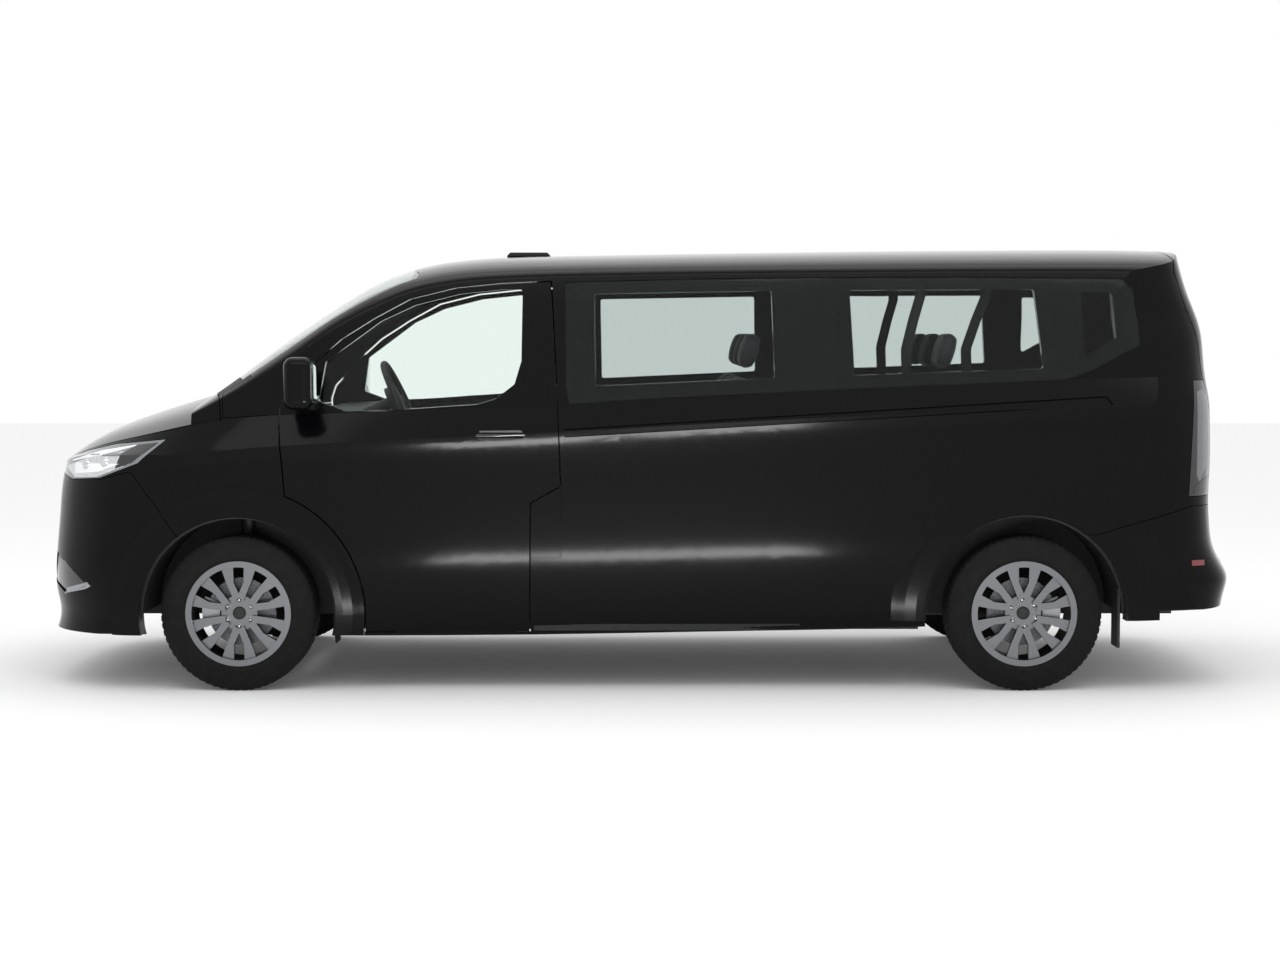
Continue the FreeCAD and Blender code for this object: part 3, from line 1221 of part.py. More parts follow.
def make_exhaust():
    """Exhaust pipe with its silencer."""
    start = exhaust_front_share * LENGTH
    length = (exhaust_rear_share - exhaust_front_share) * LENGTH
    axis = Vector(1, 0, 0)
    pipe = Part.makeCylinder(EXHAUST_RADIUS, length, Vector(start, EXHAUST_Y, EXHAUST_Z), axis)
    can = Part.makeCylinder(MUFFLER_RADIUS, MUFFLER_LENGTH,
                            Vector(muffler_x_share * LENGTH, EXHAUST_Y, EXHAUST_Z), axis)
    exhaust = pipe.fuse(can)
    top = FLOOR_TOP - FLOOR_THICKNESS - SEAT_GAP
    for share in hanger_x_shares:
        x = share * LENGTH
        exhaust = exhaust.fuse(box(Vector(x, EXHAUST_Y - HANGER_WIDTH / 2, EXHAUST_Z),
                                   Vector(x + HANGER_THICKNESS, EXHAUST_Y + HANGER_WIDTH / 2,
                                          top)))
    return exhaust


def make_subframe():
    """Front crossmember with lower arms, kingpins and struts."""
    half = SUBFRAME_DEPTH / 2
    bottom = subframe_top() - SUBFRAME_THICKNESS
    frame = box(Vector(FRONT_AXLE_X - half, -SUBFRAME_HALF_WIDTH, bottom),
                Vector(FRONT_AXLE_X + half, SUBFRAME_HALF_WIDTH, subframe_top()))
    liner_inside = FRONT_ARCH_RADIUS - SEAT_GAP - LINER_WALL
    strut_top = HUB_Z + math.sqrt(liner_inside ** 2 - STRUT_RADIUS ** 2) - SEAT_GAP
    for side in (-1, 1):
        pin_y = side * (WHEEL_Y - STEER_OFFSET)
        root = side * SUBFRAME_HALF_WIDTH
        corners = [Vector(FRONT_AXLE_X - ARM_WIDTH / 2, root, bottom),
                   Vector(FRONT_AXLE_X - ARM_TIP, pin_y, bottom),
                   Vector(FRONT_AXLE_X + ARM_TIP, pin_y, bottom),
                   Vector(FRONT_AXLE_X + ARM_WIDTH / 2, root, bottom)]
        arm = face_of(corners, 0).extrude(Vector(0, 0, ARM_THICKNESS))
        arm = arm.fuse(Part.makeCylinder(ARM_TIP, ARM_THICKNESS,
                                         Vector(FRONT_AXLE_X, pin_y, bottom)))
        pin = Part.makeCylinder(KINGPIN_RADIUS, KINGPIN_LENGTH + ARM_THICKNESS / 2,
                                Vector(FRONT_AXLE_X, pin_y, bottom + ARM_THICKNESS / 2))
        strut = Part.makeCylinder(STRUT_RADIUS, strut_top - bottom - ARM_THICKNESS / 2,
                                  Vector(FRONT_AXLE_X, side * STRUT_Y,
                                         bottom + ARM_THICKNESS / 2))
        frame = frame.fuse(arm).fuse(pin).fuse(strut)
    return frame


def make_rear_axle(carriers):
    """Rear beam with trailing arms and the two wheel carriers."""
    axle = ring(AXLE_RADIUS, -AXLE_HALF_WIDTH - CARRIER_THICKNESS / 2,
                AXLE_HALF_WIDTH + CARRIER_THICKNESS / 2, REAR_AXLE_X, 0, HUB_Z)
    for carrier in carriers:
        axle = axle.fuse(carrier)
    for side in (-1, 1):
        inside = RAIL_Y + SEAT_GAP
        start, end = sorted([side * inside, side * (inside + TRAILING_ARM.y)])
        front = REAR_AXLE_X - TRAILING_ARM.x
        axle = axle.fuse(box(Vector(front, start, HUB_Z - TRAILING_ARM.z / 2),
                             Vector(REAR_AXLE_X, end, HUB_Z + TRAILING_ARM.z / 2)))
        axle = axle.fuse(box(Vector(front, start, HUB_Z), Vector(
            front + TRAILING_ARM.y, end, FLOOR_TOP - FLOOR_THICKNESS - SEAT_GAP)))
    return axle


def make_mirror(side, outer):
    """Door mirror on its foot."""
    size = MIRROR_SIZE
    housing = box(Vector(MIRROR_FRONT_X, MIRROR_OUTER_Y - size.y, MIRROR_BOTTOM),
                  Vector(MIRROR_FRONT_X + size.x, MIRROR_OUTER_Y, MIRROR_BOTTOM + size.z))
    housing = housing.makeFillet(MIRROR_CORNER, housing.Edges)
    inner = MIRROR_OUTER_Y - size.y - MIRROR_FOOT.y + MIRROR_CORNER
    foot = box(Vector(MIRROR_FRONT_X + size.x - MIRROR_FOOT.x, inner,
                      MIRROR_BOTTOM),
               Vector(MIRROR_FRONT_X + size.x, inner + MIRROR_FOOT.y + MIRROR_CORNER,
                      MIRROR_BOTTOM + MIRROR_FOOT.z))
    piece = housing.fuse(foot).cut(outer.translated(Vector(0, SEAT_GAP, 0)))
    return cleaned(piece if side > 0 else mirror(piece))


def make_pod(outer):
    """Aerial pod on the roof."""
    x = pod_x_share * LENGTH
    top = HEIGHT - POD_HEIGHT / 4
    pod = box(Vector(x - POD_LENGTH / 2, -POD_WIDTH / 2, top - 2 * POD_HEIGHT),
              Vector(x + POD_LENGTH / 2, POD_WIDTH / 2, top))
    return pod.makeChamfer(POD_HEIGHT / 2, pod.Edges).cut(
        outer.translated(Vector(0, 0, SEAT_GAP)))


# build

outer_body = body_master(OUTER)
inner_body = body_master(INNER)
under_glass = body_master(UNDER_GLASS)
all_pieces = make_panels(outer_body, inner_body, under_glass)
wheels = make_wheels()
carriers = [wheels.pop("carrier_left"), wheels.pop("carrier_right")]
all_pieces.update(wheels)
all_pieces["floor_pan"] = make_floor(inner_body)
all_pieces["dashboard"] = make_dashboard()
all_pieces["steering_wheel"] = make_steering_wheel()
all_pieces["front_seats"], all_pieces["bench_seats"] = make_seats()
all_pieces["arch_liners"] = make_liners()
all_pieces["engine_block"] = make_engine()
all_pieces["fuel_tank"] = make_tank()
all_pieces["exhaust"] = make_exhaust()
all_pieces["front_subframe"] = make_subframe()
all_pieces["rear_axle"] = make_rear_axle(carriers)
all_pieces["mirror_left"] = make_mirror(-1, outer_body)
all_pieces["mirror_right"] = make_mirror(1, outer_body)
all_pieces["aerial_pod"] = make_pod(outer_body)
for name, piece in all_pieces.items():
    export(name, piece)
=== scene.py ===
import bpy, bmesh, math
from mathutils import Matrix, Vector


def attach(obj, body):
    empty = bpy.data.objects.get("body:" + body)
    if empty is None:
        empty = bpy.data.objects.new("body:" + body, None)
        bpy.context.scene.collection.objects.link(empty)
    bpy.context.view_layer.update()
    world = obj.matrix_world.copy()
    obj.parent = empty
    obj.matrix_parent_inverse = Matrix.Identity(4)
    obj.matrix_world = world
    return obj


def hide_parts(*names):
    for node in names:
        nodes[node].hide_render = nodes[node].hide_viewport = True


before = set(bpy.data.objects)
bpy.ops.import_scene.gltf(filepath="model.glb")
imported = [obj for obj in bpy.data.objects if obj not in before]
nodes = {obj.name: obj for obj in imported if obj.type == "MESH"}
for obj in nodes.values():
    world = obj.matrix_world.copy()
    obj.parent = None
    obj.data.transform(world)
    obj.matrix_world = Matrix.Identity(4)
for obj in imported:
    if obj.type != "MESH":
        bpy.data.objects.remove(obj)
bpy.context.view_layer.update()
scene = bpy.context.scene
bpy.ops.object.select_all(action="DESELECT")


# Body shell: pressed steel sides, roof, wings, doors and lids, with moulded bumpers in body
# colour. All carry the same baked black enamel under a clear coat, which shows a little
# metal flake up close and a faint orange peel.
def linear(code):
    """A colour node's values from an sRGB hex code."""
    parts = [int(code[i:i + 2], 16) / 255 for i in (1, 3, 5)]
    return tuple(c / 12.92 if c <= 0.04045 else ((c + 0.055) / 1.055) ** 2.4
                 for c in parts) + (1.0,)


def add(tree, kind, **settings):
    """One node with its settings; i0, i1 are sockets by number, the rest go by name."""
    node = tree.nodes.new(kind)
    for name, value in settings.items():
        if hasattr(node, name):
            setattr(node, name, value)
            continue
        key = int(name[1:]) if name[1:].isdigit() else name.replace("_", " ")
        if isinstance(value, bpy.types.NodeSocket):
            tree.links.new(value, node.inputs[key])
        else:
            node.inputs[key].default_value = value
    return node


def finish_of(name, colour, rough, **sockets):
    """A named finish: its material, tree, shader and object coordinates in metres."""
    mat = bpy.data.materials.new(name)
    mat.use_nodes = True
    tree = mat.node_tree
    shader = tree.nodes["Principled BSDF"]
    shader.inputs["Base Color"].default_value = linear(colour)
    shader.inputs["Roughness"].default_value = rough
    for socket, value in sockets.items():
        shader.inputs[socket.replace("_", " ")].default_value = value
    place = add(tree, "ShaderNodeTexCoord").outputs["Object"]
    return mat, tree, shader, place


def dress(mat, *names):
    """Gives CAD nodes one finish."""
    for name in names:
        nodes[name].data.materials.clear()
        nodes[name].data.materials.append(mat)


# The flake is 0.2 mm in the real paint and is drawn at 1.6 mm, the least that still shows.
enamel, tree, shader, place = finish_of("black_enamel_clear_coated", "#040506", 0.32,
                                        Coat_Weight=1.0, Coat_Roughness=0.12, Coat_IOR=1.20,
                                        Specular_IOR_Level=0.02)
spots = add(tree, "ShaderNodeTexNoise", Vector=place, Scale=1000 / 1.6, Detail=2.0)
share = add(tree, "ShaderNodeMapRange", Value=spots.outputs["Fac"], From_Min=0.42,
            From_Max=0.72)
tint = add(tree, "ShaderNodeMix", data_type="RGBA", i0=share.outputs["Result"],
           i6=linear("#020203"), i7=linear("#0a0b0c"))
tree.links.new(tint.outputs[2], shader.inputs["Base Color"])
peel = add(tree, "ShaderNodeTexNoise", Vector=place, Scale=45, Detail=1.0)
bump = add(tree, "ShaderNodeBump", Height=peel.outputs["Fac"], Distance=0.01 / 1000)
tree.links.new(bump.outputs["Normal"], shader.inputs["Normal"])
dress(enamel, "body_side_left", "body_side_right", "sliding_door_right", "roof_panel",
      "front_wings", "front_bumper", "rear_bumper", "fuel_flap", "bonnet", "tailgate",
      "front_door_left", "front_door_right", "mirror_left", "mirror_right", "aerial_pod")


# Window glass: toughened panes, lightly green in front and tinted a shade darker behind
# the front doors. Each is bonded or runs flush, so it mirrors the sky as one dark band.
clear, tree, shader, place = finish_of("green_tinted_glass", "#f4faf7", 0.0,
                                       Transmission_Weight=1.0, IOR=1.22)
haze = add(tree, "ShaderNodeTexNoise", Vector=place, Scale=3, Detail=3.0)
dust = add(tree, "ShaderNodeMapRange", Value=haze.outputs["Fac"], To_Min=0.0, To_Max=0.03)
tree.links.new(dust.outputs["Result"], shader.inputs["Roughness"])
dress(clear, "windscreen", "door_glass_left", "door_glass_right")
privacy, tree, shader, place = finish_of("privacy_tinted_glass", "#dbe2e0", 0.0,
                                         Transmission_Weight=1.0, IOR=1.22)
haze = add(tree, "ShaderNodeTexNoise", Vector=place, Scale=3, Detail=3.0)
dust = add(tree, "ShaderNodeMapRange", Value=haze.outputs["Fac"], To_Min=0.0, To_Max=0.03)
tree.links.new(dust.outputs["Result"], shader.inputs["Roughness"])
dress(privacy, "side_glass", "tailgate_glass")


# Unpainted mouldings: cowl, wheel-house liners, tank and grille are moulded black
# polypropylene with a fine spark-eroded grain that keeps them matt.
grained, tree, shader, place = finish_of("grained_black_polypropylene", "#17181a", 0.62)
grain = add(tree, "ShaderNodeTexVoronoi", Vector=place, Scale=650)
bump = add(tree, "ShaderNodeBump", Height=grain.outputs["Distance"], Distance=0.12 / 1000)
tree.links.new(bump.outputs["Normal"], shader.inputs["Normal"])
spots = add(tree, "ShaderNodeTexNoise", Vector=place, Scale=1000 / 40, Detail=2.0)
share = add(tree, "ShaderNodeMapRange", Value=spots.outputs["Fac"], From_Min=0.35,
            From_Max=0.75)
tint = add(tree, "ShaderNodeMix", data_type="RGBA", i0=share.outputs["Result"],
           i6=linear("#131415"), i7=linear("#1e1f21"))
tree.links.new(tint.outputs[2], shader.inputs["Base Color"])
dress(grained, "cowl_panel", "arch_liners", "fuel_tank", "grille")


# Underbody: floor, subframe, axle and knuckles are electrocoated steel with dust on them,
# and the exhaust is bare aluminised pipe gone dull.
chassis, tree, shader, place = finish_of("electrocoated_steel", "#1d1e20", 0.55, Metallic=0.3)
spots = add(tree, "ShaderNodeTexNoise", Vector=place, Scale=1000 / 60, Detail=2.0)
share = add(tree, "ShaderNodeMapRange", Value=spots.outputs["Fac"], From_Min=0.3,
            From_Max=0.8)
tint = add(tree, "ShaderNodeMix", data_type="RGBA", i0=share.outputs["Result"],
           i6=linear("#151617"), i7=linear("#2b2a28"))
tree.links.new(tint.outputs[2], shader.inputs["Base Color"])
dress(chassis, "floor_pan", "front_subframe", "rear_axle", "knuckle_left", "knuckle_right",
      "engine_block")
aluminised, tree, shader, place = finish_of("aluminised_pipe", "#7d7a74", 0.5, Metallic=0.9)
spots = add(tree, "ShaderNodeTexNoise", Vector=place, Scale=1000 / 25, Detail=2.0)
share = add(tree, "ShaderNodeMapRange", Value=spots.outputs["Fac"], From_Min=0.3,
            From_Max=0.7)
tint = add(tree, "ShaderNodeMix", data_type="RGBA", i0=share.outputs["Result"],
           i6=linear("#5d5a55"), i7=linear("#8f8c86"))
tree.links.new(tint.outputs[2], shader.inputs["Base Color"])
dress(aluminised, "exhaust")


# Brake discs: cast iron, swept clean by the pads and cloudy grey. The calipers on the
# knuckles and on the rear axle are silver castings beside each disc.
iron, tree, shader, place = finish_of("turned_cast_iron", "#6f7072", 0.42, Metallic=1.0)
spots = add(tree, "ShaderNodeTexNoise", Vector=place, Scale=1000 / 6, Detail=2.0)
share = add(tree, "ShaderNodeMapRange", Value=spots.outputs["Fac"], From_Min=0.35,
            From_Max=0.7)
tint = add(tree, "ShaderNodeMix", data_type="RGBA", i0=share.outputs["Result"],
           i6=linear("#55565a"), i7=linear("#84858a"))
tree.links.new(tint.outputs[2], shader.inputs["Base Color"])
dress(iron, *[n for n in nodes if n.startswith("disc_")])
silver, tree, shader, place = finish_of("silver_cast_caliper", "#a6a8ab", 0.38, Metallic=0.9)
cast = add(tree, "ShaderNodeTexNoise", Vector=place, Scale=420, Detail=2.0)
bump = add(tree, "ShaderNodeBump", Height=cast.outputs["Fac"], Distance=0.1 / 1000)
tree.links.new(bump.outputs["Normal"], shader.inputs["Normal"])
axle_places = {"front": -1.782, "rear": 1.718}
hub_height, wheel_side = 0.345, 0.870
caliper_inner, caliper_outer, caliper_side = 0.085, 0.18, 0.790
for name, axle in (("knuckle_left", "front"), ("knuckle_right", "front"), ("rear_axle", "rear")):
    mesh = nodes[name].data
    mesh.materials.append(silver)
    for face in mesh.polygons:
        reach = math.hypot(face.center.x - axle_places[axle], face.center.z - hub_height)
        inside = caliper_inner < reach < caliper_outer
        face.material_index = 1 if inside and abs(face.center.y) > caliper_side else 0


# Road wheels: cast alloy, machined on the face and clear-coated, so the spokes and the rim
# edge are grey metal and the pockets between them stay black.
alloy, tree, shader, place = finish_of("machined_cast_alloy", "#77797c", 0.30, Metallic=1.0,
                                       Coat_Weight=0.3, Coat_Roughness=0.05)
cast = add(tree, "ShaderNodeTexNoise", Vector=place, Scale=900, Detail=1.0)
bump = add(tree, "ShaderNodeBump", Height=cast.outputs["Fac"], Distance=0.03 / 1000)
tree.links.new(bump.outputs["Normal"], shader.inputs["Normal"])
pocket, tree, shader, place = finish_of("black_enamelled_casting", "#0c0c0d", 0.45)
cast = add(tree, "ShaderNodeTexNoise", Vector=place, Scale=600, Detail=1.0)
bump = add(tree, "ShaderNodeBump", Height=cast.outputs["Fac"], Distance=0.08 / 1000)
tree.links.new(bump.outputs["Normal"], shader.inputs["Normal"])
spoke_face, edge_face, edge_radius = 0.055, 0.082, 0.2
rims = [n for n in nodes if n.startswith("rim_")]
dress(pocket, *rims)
for name in rims:
    mesh = nodes[name].data
    mesh.materials.append(alloy)
    side = 1 if name.endswith("right") else -1
    hub = axle_places["front" if "front" in name else "rear"]
    for face in mesh.polygons:
        out = (face.center.y - side * wheel_side) * side
        reach = math.hypot(face.center.x - hub, face.center.z - hub_height)
        spoke = abs(face.normal.y) > 0.9 and out > spoke_face
        edge = out > edge_face and reach > edge_radius
        face.material_index = 1 if spoke or edge else 0


# Tyres: 215 wide radials. Each is a moulded carcass with four grooves round the tread, cross
# cuts in its shoulders, a bulging side wall and a bead that sits against the rim flange.
def edit(piece):
    """Edit mode on one piece with nothing selected; returns its mesh for picking."""
    bpy.context.view_layer.objects.active = piece
    bpy.ops.object.mode_set(mode="EDIT")
    bpy.ops.mesh.select_mode(type="FACE")
    bpy.ops.mesh.select_all(action="DESELECT")
    return bmesh.from_edit_mesh(piece.data)


def pick(piece, test):
    """Selects just the faces that pass a test of their centre and normal."""
    mesh = bmesh.from_edit_mesh(piece.data)
    for face in mesh.faces:
        face.select_set(test(face.calc_center_median(), face.normal))
    mesh.select_flush_mode()
    bmesh.update_edit_mesh(piece.data)


def settle(piece, name, mat, body, angle=35):
    """Ends a piece: applied place, smooth by angle, finish and body."""
    bpy.context.view_layer.objects.active = piece
    if piece.mode == "EDIT":
        bpy.ops.object.mode_set(mode="OBJECT")
    bpy.ops.object.select_all(action="DESELECT")
    piece.select_set(True)
    bpy.ops.object.transform_apply(location=True, rotation=True, scale=True)
    bpy.ops.object.shade_smooth_by_angle(angle=math.radians(angle))
    piece.name = name
    piece.data.materials.clear()
    piece.data.materials.append(mat)
    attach(piece, body)
    piece.select_set(False)
    return piece


def twin(piece, name, body, at, flip=False):
    """A copy with its own mesh set at another place, mirrored across the vehicle if asked."""
    copy = piece.copy()
    copy.data = piece.data.copy()
    scene.collection.objects.link(copy)
    if flip:
        copy.data.transform(Matrix.Scale(-1, 4, Vector((0, 1, 0))))
        copy.data.flip_normals()
    copy.data.transform(Matrix.Translation(Vector(at)))
    copy.name = name
    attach(copy, body)
    return copy


wheel_radius, tread_half = 0.345, 0.084
inner_groove, outer_groove, shoulder_end = (0.0165, 0.0250), (0.0505, 0.0590), 0.0895
bpy.ops.mesh.primitive_cylinder_add(vertices=192, radius=wheel_radius, depth=2 * tread_half,
                                    rotation=(math.pi / 2, 0, 0))
tyre = bpy.context.object
bpy.ops.object.transform_apply(rotation=True)
edit(tyre)
wall = ((0.0045, 0.006), (0.0125, 0.010), (0.036, 0.0075), (0.003, 0.0008), (0.029, -0.003),
        (0.004, 0.002), (0.006, -0.001), (0.008, -0.006), (0.011, -0.012))
for side in (-1, 1):
    pick(tyre, lambda c, n: n.y * side > 0.9)
    for step, rise in wall:
        bpy.ops.mesh.inset(thickness=step)
        bpy.ops.transform.translate(value=(0, side * rise, 0))
    bpy.ops.mesh.delete(type="ONLY_FACE")
for cut in inner_groove + outer_groove:
    for side in (-1, 1):
        bpy.ops.mesh.select_all(action="SELECT")
        bpy.ops.mesh.bisect(plane_co=(0, side * cut, 0), plane_no=(0, 1, 0))
pick(tyre, lambda c, n: math.hypot(c.x, c.z) > 0.34
     and (inner_groove[0] < abs(c.y) < inner_groove[1]
          or outer_groove[0] < abs(c.y) < outer_groove[1]))
bpy.ops.mesh.extrude_region_shrink_fatten(TRANSFORM_OT_shrink_fatten={"value": -0.007})
pick(tyre, lambda c, n: math.hypot(c.x, c.z) > 0.338
     and outer_groove[1] < abs(c.y) < shoulder_end
     and int((math.atan2(c.z, c.x) + math.pi) * 96 / math.pi) % 3 == 0)
bpy.ops.mesh.extrude_region_shrink_fatten(TRANSFORM_OT_shrink_fatten={"value": -0.004})
bpy.ops.mesh.select_mode(type="EDGE")
bpy.ops.mesh.select_all(action="DESELECT")
bpy.ops.mesh.select_non_manifold()
bpy.ops.mesh.bridge_edge_loops()
bpy.ops.mesh.select_all(action="SELECT")
bpy.ops.mesh.normals_make_consistent(inside=False)
bpy.ops.object.mode_set(mode="OBJECT")

# Weathered rubber, near black and dry, greyer where the wall flexes and dust settles.
rubber, tree, shader, place = finish_of("weathered_tyre_rubber", "#0c0c0c", 0.82,
                                        Specular_IOR_Level=0.25)
spots = add(tree, "ShaderNodeTexNoise", Vector=place, Scale=1000 / 30, Detail=2.0)
share = add(tree, "ShaderNodeMapRange", Value=spots.outputs["Fac"], From_Min=0.3,
            From_Max=0.75)
tint = add(tree, "ShaderNodeMix", data_type="RGBA", i0=share.outputs["Result"],
           i6=linear("#080808"), i7=linear("#111110"))
tree.links.new(tint.outputs[2], shader.inputs["Base Color"])
crumb = add(tree, "ShaderNodeTexNoise", Vector=place, Scale=700, Detail=2.0)
bump = add(tree, "ShaderNodeBump", Height=crumb.outputs["Fac"], Distance=0.15 / 1000)
tree.links.new(bump.outputs["Normal"], shader.inputs["Normal"])
settle(tyre, "tyre_pattern", rubber, "body")
wheels = [(axle, side) for axle in ("front", "rear") for side in ("left", "right")]
for axle, side in wheels:
    at = (axle_places[axle], wheel_side if side == "right" else -wheel_side, hub_height)
    made = twin(tyre, "tyre_moulded_%s_%s" % (axle, side), "wheel_%s_%s" % (axle, side), at)
    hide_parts("tyre_%s_%s" % (axle, side))
bpy.data.objects.remove(tyre)


# Wheel nuts and centre caps: six chromed domed nuts draw each wheel to its hub, round a
# plain black moulded cap that clips into the bore.
bpy.ops.mesh.primitive_cylinder_add(vertices=6, radius=0.0125, depth=0.016,
                                    rotation=(math.pi / 2, 0, 0))
nut = bpy.context.object
bpy.ops.object.transform_apply(rotation=True)
edit(nut)
pick(nut, lambda c, n: n.y < -0.9)
bpy.ops.mesh.inset(thickness=0.0015)
bpy.ops.mesh.extrude_region_move(TRANSFORM_OT_translate={"value": (0, -0.004, 0)})
bpy.ops.transform.resize(value=(0.85, 1, 0.85))
bpy.ops.mesh.extrude_region_move(TRANSFORM_OT_translate={"value": (0, -0.004, 0)})
bpy.ops.transform.resize(value=(0.5, 1, 0.5))
bpy.ops.object.mode_set(mode="OBJECT")
for kind, settings in (("BEVEL", {"width": 0.0010, "segments": 1}), ("SUBSURF", {"levels": 1})):
    shape = nut.modifiers.new(kind.lower(), kind)
    for setting, value in settings.items():
        setattr(shape, setting, value)
    bpy.ops.object.modifier_apply(modifier=shape.name)
chrome, tree, shader, place = finish_of("chromed_steel", "#c9cacd", 0.12, Metallic=1.0)
spots = add(tree, "ShaderNodeTexNoise", Vector=place, Scale=1000 / 4, Detail=2.0)
share = add(tree, "ShaderNodeMapRange", Value=spots.outputs["Fac"], From_Min=0.3,
            From_Max=0.8)
tint = add(tree, "ShaderNodeMix", data_type="RGBA", i0=share.outputs["Result"],
           i6=linear("#a9aaae"), i7=linear("#d8d9db"))
tree.links.new(tint.outputs[2], shader.inputs["Base Color"])
settle(nut, "nut_pattern", chrome, "body")
bpy.ops.mesh.primitive_cylinder_add(vertices=64, radius=0.029, depth=0.010,
                                    rotation=(math.pi / 2, 0, 0))
cap = bpy.context.object
bpy.ops.object.transform_apply(rotation=True)
edit(cap)
pick(cap, lambda c, n: n.y < -0.9)
bpy.ops.mesh.inset(thickness=0.003)
bpy.ops.transform.translate(value=(0, -0.003, 0))
bpy.ops.mesh.inset(thickness=0.003)
bpy.ops.transform.translate(value=(0, 0.002, 0))
bpy.ops.mesh.inset(thickness=0.008)
bpy.ops.transform.translate(value=(0, -0.002, 0))
bpy.ops.object.mode_set(mode="OBJECT")
settle(cap, "cap_pattern", grained, "body")
pad_out, nut_circle = 0.058, 0.059
for axle, side in wheels:
    out = 1 if side == "right" else -1
    face = out * (wheel_side + pad_out)
    body = "wheel_%s_%s" % (axle, side)
    at = (axle_places[axle], face, hub_height)
    twin(cap, "centre_cap_%s_%s" % (axle, side), body, at, flip=out > 0)
    for turn in range(6):
        angle = math.radians(30 + 60 * turn + (6 if axle == "rear" else 0))
        spot = (at[0] + nut_circle * math.cos(angle), face,
                at[2] + nut_circle * math.sin(angle))
        twin(nut, "wheel_nut_%s_%s_%d" % (axle, side, turn), body, spot, flip=out > 0)
bpy.data.objects.remove(nut)
bpy.data.objects.remove(cap)


# Surface fittings take their shape from the panel that they are clipped or bonded to, so
# each starts as a flat sheet beside the panel, trimmed to its outline and pressed onto it.
start_out = 3.2


def pressed(name, facing, corners, onto, proud, thick, mat, body, cells=24, bevel=0.0):
    """A thin fitting pressed onto panels; corners run round it as seen from outside.

    facing is the axis and side it is seen from, such as "-Y"; a corner is its place on the
    other two axes, and the outline is convex."""
    axis = "XYZ".index(facing[1])
    sign = 1 if facing[0] == "+" else -1
    first, second = [i for i in range(3) if i != axis]
    lows = [min(c[i] for c in corners) for i in (0, 1)]
    highs = [max(c[i] for c in corners) for i in (0, 1)]
    wide, high = highs[0] - lows[0], highs[1] - lows[1]
    step = max(wide, high) / cells
    turn = {0: (math.pi / 2, 0, math.pi / 2), 1: (math.pi / 2, 0, 0), 2: (0, 0, 0)}[axis]
    middle = [0, 0, 0]
    middle[first], middle[second] = (lows[0] + highs[0]) / 2, (lows[1] + highs[1]) / 2
    middle[axis] = sign * start_out
    bpy.ops.mesh.primitive_grid_add(x_subdivisions=max(2, round(wide / step)),
                                    y_subdivisions=max(2, round(high / step)), size=1,
                                    location=middle, rotation=turn)
    piece = bpy.context.object
    piece.scale = (wide * 1.001, high * 1.001, 1)
    bpy.ops.object.transform_apply(location=True, rotation=True, scale=True)
    edit(piece)
    centre = [sum(c[i] for c in corners) / len(corners) for i in (0, 1)]
    for one, two in zip(corners, corners[1:] + corners[:1]):
        out = [two[1] - one[1], one[0] - two[0]]
        if (centre[0] - one[0]) * out[0] + (centre[1] - one[1]) * out[1] > 0:
            out = [-out[0], -out[1]]
        point, normal = [0, 0, 0], [0, 0, 0]
        point[axis] = middle[axis]
        point[first], point[second] = one
        normal[first], normal[second] = out
        bpy.ops.mesh.select_all(action="SELECT")
        bpy.ops.mesh.bisect(plane_co=point, plane_no=normal, clear_outer=True)
    bpy.ops.object.mode_set(mode="OBJECT")
    press = piece.modifiers.new("press", "SHRINKWRAP")
    press.target = nodes[onto[0]]
    if len(onto) > 1:
        press.auxiliary_target = nodes[onto[1]]
    press.wrap_method = "PROJECT"
    for i, letter in enumerate("xyz"):
        setattr(press, "use_project_" + letter, i == axis)
    press.use_negative_direction = press.use_positive_direction = True
    bpy.ops.object.modifier_apply(modifier="press")
    mesh = bmesh.new()
    mesh.from_mesh(piece.data)
    missed = [v for v in mesh.verts if abs(v.co[axis]) > start_out - 0.1]
    bmesh.ops.delete(mesh, geom=missed, context="VERTS")
    for vertex in mesh.verts:
        vertex.co[axis] += sign * proud
    bmesh.ops.recalc_face_normals(mesh, faces=mesh.faces)
    if sum(f.normal[axis] for f in mesh.faces) * sign < 0:
        bmesh.ops.reverse_faces(mesh, faces=mesh.faces)
    mesh.to_mesh(piece.data)
    mesh.free()
    wall = piece.modifiers.new("wall", "SOLIDIFY")
    wall.thickness = thick
    wall.offset = -1
    bpy.ops.object.modifier_apply(modifier="wall")
    if bevel:
        edge = piece.modifiers.new("edge", "BEVEL")
        edge.width, edge.segments, edge.limit_method = bevel, 2, "ANGLE"
        bpy.ops.object.modifier_apply(modifier="edge")
    return settle(piece, name, mat, body)


def skin_at(node, x, z, side):
    """How far out a panel's surface lies at one place of its side view."""
    start, inward = Vector((x, side * start_out, z)), Vector((0, -side, 0))
    return nodes[node].ray_cast(start, inward)[1].y


